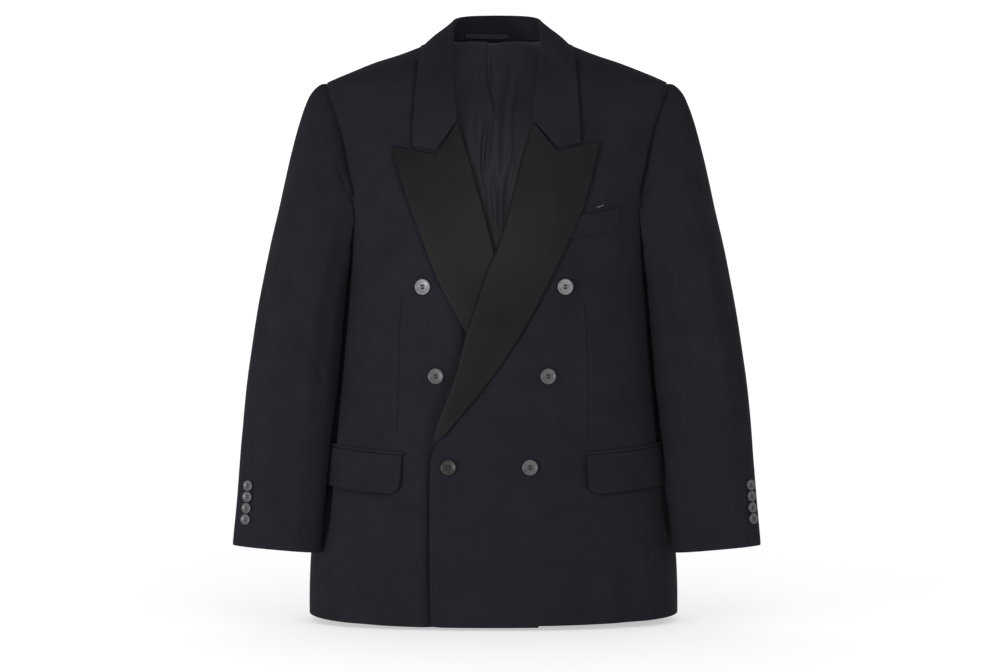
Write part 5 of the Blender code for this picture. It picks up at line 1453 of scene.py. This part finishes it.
def drilled(line, places, radius):
    """A turned disc's mesh with round holes at some places."""
    disc = turned_disc(line, BUTTON_DETAIL)
    mesh = bpy.data.meshes.new("blank")
    disc.to_mesh(mesh)
    disc.free()
    blank = placed("blank", mesh)
    drills = []
    for place in places:
        shape = bmesh.new()
        bmesh.ops.create_cone(shape, cap_ends=True, segments=14, radius1=radius,
                              radius2=radius, depth=0.02)
        drill_mesh = bpy.data.meshes.new("drill")
        shape.to_mesh(drill_mesh)
        shape.free()
        drills.append(placed("drill", drill_mesh))
        drills[-1].location = place
        cut = blank.modifiers.new("hole", "BOOLEAN")
        cut.operation = "DIFFERENCE"
        cut.solver = "EXACT"
        cut.object = drills[-1]
    bpy.context.view_layer.update()
    depsgraph = bpy.context.evaluated_depsgraph_get()
    pierced = bpy.data.meshes.new_from_object(blank.evaluated_get(depsgraph))
    for used in (*drills, blank):
        bpy.data.objects.remove(used)
    return pierced


def button_mesh(name, line, hole_place, hole_radius, thread_radius, resin):
    """A turned button with four holes and the two rows of thread that sew it on."""
    places = [hole_place * np.array((math.cos(a), math.sin(a), 0.0))
              for a in np.radians((45, 135, 225, 315))]
    pierced = drilled(line, places, hole_radius)
    pierced.name = name
    whole = bmesh.new()
    whole.from_mesh(pierced)
    for face in whole.faces:
        face.material_index = 0
    shares = np.linspace(0.0, 1.0, 11)
    sink = 0.0011 * (1 - np.sin(math.pi * shares) ** 0.35)
    for order, (first, last) in enumerate((places[:2], places[2:])):
        way = unit(last - first)
        lift = line[-1][1] + (0.9 + order) * thread_radius
        for strand in (-1, 0, 1):
            points = mix(first, last, shares[:, None])
            points = points + np.array((-way[1], way[0], 0.0)) * strand * 1.7 * thread_radius
            points[:, 2] += lift - sink
            thread_tube(whole, points, thread_radius, material_index=1)
    pierced.materials.clear()
    pierced.materials.append(resin)
    pierced.materials.append(THREAD)
    whole.to_mesh(pierced)
    whole.free()
    pierced.shade_smooth()
    pierced.set_sharp_from_angle(angle=math.radians(38))
    return pierced


def sew_on(name, node_name, mesh, place, normal, turn=0.0):
    """Put a button at a place, its back towards the cloth."""
    made = placed(name, mesh)
    square = Vector(normal).to_track_quat("Z", "Y").to_matrix().to_4x4()
    made.matrix_world = Matrix.Translation(Vector(place)) @ square @ Matrix.Rotation(turn, 4, "Z")
    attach(made, "root")
    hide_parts(node_name)
    return made


# How far each front button is turned on its thread, in degrees.
BUTTON_TURNS = (4.0, -3.0, 7.0, 2.0, 0.0, 5.0)


def front_buttons():
    """The six show buttons."""
    # The top buttons get the resin with a painted highlight and the fastened one the resin with
    # painted shade. The others get the plain resin.
    resins = {"top": BUTTON_PAINTED_HIGHLIGHT, "middle": BUTTON, "low": BUTTON, "fastened": BUTTON_PAINTED_SHADE}
    meshes = {word: button_mesh(f"{word}_button", FRONT_BUTTON_LINE, 0.0023, 0.0010, 0.00038,
                                resin) for word, resin in resins.items()}
    made = {}
    for (name, x, height, side), turn in zip(BUTTON_ROWS, BUTTON_TURNS):
        angle = angle_of(x, height)
        seat = layer(side, x, height) + BUTTON_SEAT + BUTTON_SAG
        mesh = meshes[name.split("_")[-1]]
        made[name] = sew_on("show_" + name, name, mesh, on_body(angle, height, seat),
                            body_normal(angle, height), math.radians(turn))
    return made


def cuff_buttons():
    """Four buttons in a row at each cuff, beside the hindarm seam."""
    mesh = button_mesh("cuff_button", CUFF_BUTTON_LINE, 0.0018, 0.00075, 0.00028, BUTTON)
    depths = [-row[1] for row in SLEEVE_ROWS]
    made = {}
    for side, word in SIDES:
        made[side] = []
        for k, height in enumerate(CUFF_BUTTON_HEIGHTS):
            ring = np.interp(-height, depths, range(len(depths)))
            at = ring + np.array((0.0, 0.3, -0.3, 0.0, 0.0))
            turns = CUFF_BUTTON_ANGLE[side] + np.array((0.0, 0.0, 0.0, 4.0, -4.0))
            place, low, high, after, before = sleeve_points(side, at, turns)
            normal = unit(np.cross(low - high, after - before))
            normal = -normal if normal[1] > 0 else normal
            name = f"cuff_button_{word}_{k + 1}"
            made[side].append(sew_on("sleeve_" + name, name, mesh,
                                     place + normal * (BUTTON_SEAT + BUTTON_SAG), normal,
                                     math.radians(8 * k - 10)))
    return made


# ---------------------------------------------------------------- sewing
def thread_object(name, strands, radius, material):
    """Threads lying on the cloth, one object from several lines of points."""
    whole = bmesh.new()
    for points in strands:
        thread_tube(whole, points, radius, sides=5)
    mesh = bpy.data.meshes.new(name)
    whole.to_mesh(mesh)
    whole.free()
    mesh.materials.append(material)
    made = placed(name, mesh)
    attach(made, "root")
    return made


BUTTONHOLE_HEIGHT = -0.5263
BUTTONHOLE_X = (-0.0660, -0.0425)


def buttonhole():
    """The worked buttonhole of the fastened button: purl stitches along both lips."""
    strands = []
    for x in mix(*BUTTONHOLE_X, (np.arange(34) + 0.5) / 34):
        for way in (1, -1):
            share, lift = np.array(((0.0, 0.0), (0.3, 0.0003), (0.75, 0.00025), (1.0, -0.0001))).T
            heights = BUTTONHOLE_HEIGHT + way * mix(0.0002, 0.0013, share)
            strands.append(on_front(x, heights, layer(1, x, heights) + 0.0001 + lift))
    return thread_object("thread_buttonhole", strands, 0.00021, THREAD)


def welt_tack():
    """The small pale basting stitch left on the breast welt."""
    share = np.linspace(0.0, 1.0, 6)
    x, heights = mix(0.1262, 0.1345, share), mix(-0.1985, -0.1955, share)
    out = layer(1, x, heights) + SEAM_GAP + WELT_CLOTH + 0.0002
    points = on_front(x, heights, out + 0.0003 * np.sin(math.pi * share))
    return thread_object("thread_welt_tack", [points], 0.00028, PALE_THREAD)


# ---------------------------------------------------------------- the jacket
for SIDE, WORD in SIDES:
    for kind, make in (("front", front), ("side", side_body), ("back", back), ("lapel", lapel),
                       ("upper", sleeve_upper), ("under", sleeve_under), ("flap", flap),
                       ("jetting", jetting)):
        make(SIDE, WORD)
collar()
back_lining()
breast_welt()
hanger_loop()
SHOW_BUTTONS = front_buttons()
SLEEVE_BUTTONS = cuff_buttons()
HOLE_THREADS = buttonhole()
TACK = welt_tack()


# ---------------------------------------------------------------- ground, light, camera
FLOOR = -0.7310
FLOOR_START, FLOOR_END = -8.0, 4.5       # the flat part, along y
BEND_RADIUS = 1.5                        # of the curve between floor and wall
WALL_TOP = 5.0
BACKDROP_HALF_WIDTH = 9.0
PAPER, PAPER_GLOW = (0.80, 0.80, 0.80), 0.48


def backdrop():
    """A pale floor that curves up into a wall behind the jacket."""
    bend = np.linspace(0, math.pi / 2, 16)
    line = [(FLOOR_START, FLOOR),
            *zip(FLOOR_END + BEND_RADIUS * np.sin(bend), FLOOR + BEND_RADIUS * (1 - np.cos(bend))),
            (FLOOR_END + BEND_RADIUS, WALL_TOP)]
    points = [(x, y, z) for y, z in line for x in (-BACKDROP_HALF_WIDTH, BACKDROP_HALF_WIDTH)]
    faces = [(2 * k, 2 * k + 1, 2 * k + 3, 2 * k + 2) for k in range(len(line) - 1)]
    mesh = bpy.data.meshes.new("backdrop")
    mesh.from_pydata(points, [], faces)
    mesh.shade_smooth()
    paper, _, shader = plain_shader("white_paper", PAPER, 0.95, Emission_Strength=PAPER_GLOW)
    shader.inputs["Emission Color"].default_value = (1.0, 1.0, 1.0, 1.0)
    mesh.materials.append(paper)
    placed("backdrop", mesh)


def lamp(name, kind, place, target, power, **settings):
    """A light that looks at a target."""
    light = bpy.data.lights.new(name, kind)
    light.energy = power
    for key, value in settings.items():
        setattr(light, key, value)
    made = placed(name, light)
    made.location = place
    made.rotation_euler = (Vector(target) - Vector(place)).to_track_quat("-Z", "Y").to_euler()


backdrop()
MIDDLE = (0.0, 0.0, -0.35)
lamp("key", "AREA", (-1.45, -1.6, -0.56), (0.0, 0.0, -0.45), 16, size=0.34)
lamp("fill", "AREA", (1.7, -2.2, 0.0), MIDDLE, 5, size=1.4)
lamp("top", "AREA", (0.2, -2.6, 1.1), MIDDLE, 9, size=1.2)
# The light that reaches the lining down the neck.
lamp("neck", "SPOT", (-0.05, -3.45, -0.32), (-0.004, 0.05, -0.18), 85,
     spot_size=math.radians(4.6), spot_blend=1.0, shadow_soft_size=0.05)
world = bpy.data.worlds.new("pale_room")
bpy.context.scene.world = world
world.use_nodes = True
sky = world.node_tree.nodes["Background"].inputs
sky["Color"].default_value = (0.95, 0.96, 1.0, 1.0)
sky["Strength"].default_value = 0.55
lens = bpy.data.cameras.new("photo_camera")
lens.sensor_width = 36.0
lens.lens = 87.4
lens.clip_end = 30.0
camera = placed("photo_camera", lens)
camera.location = (0.00915, -3.2, -0.361)
camera.rotation_euler = (math.pi / 2, 0.0, 0.0)
bpy.context.scene.camera = camera
bpy.context.scene.view_settings.view_transform = "Standard"
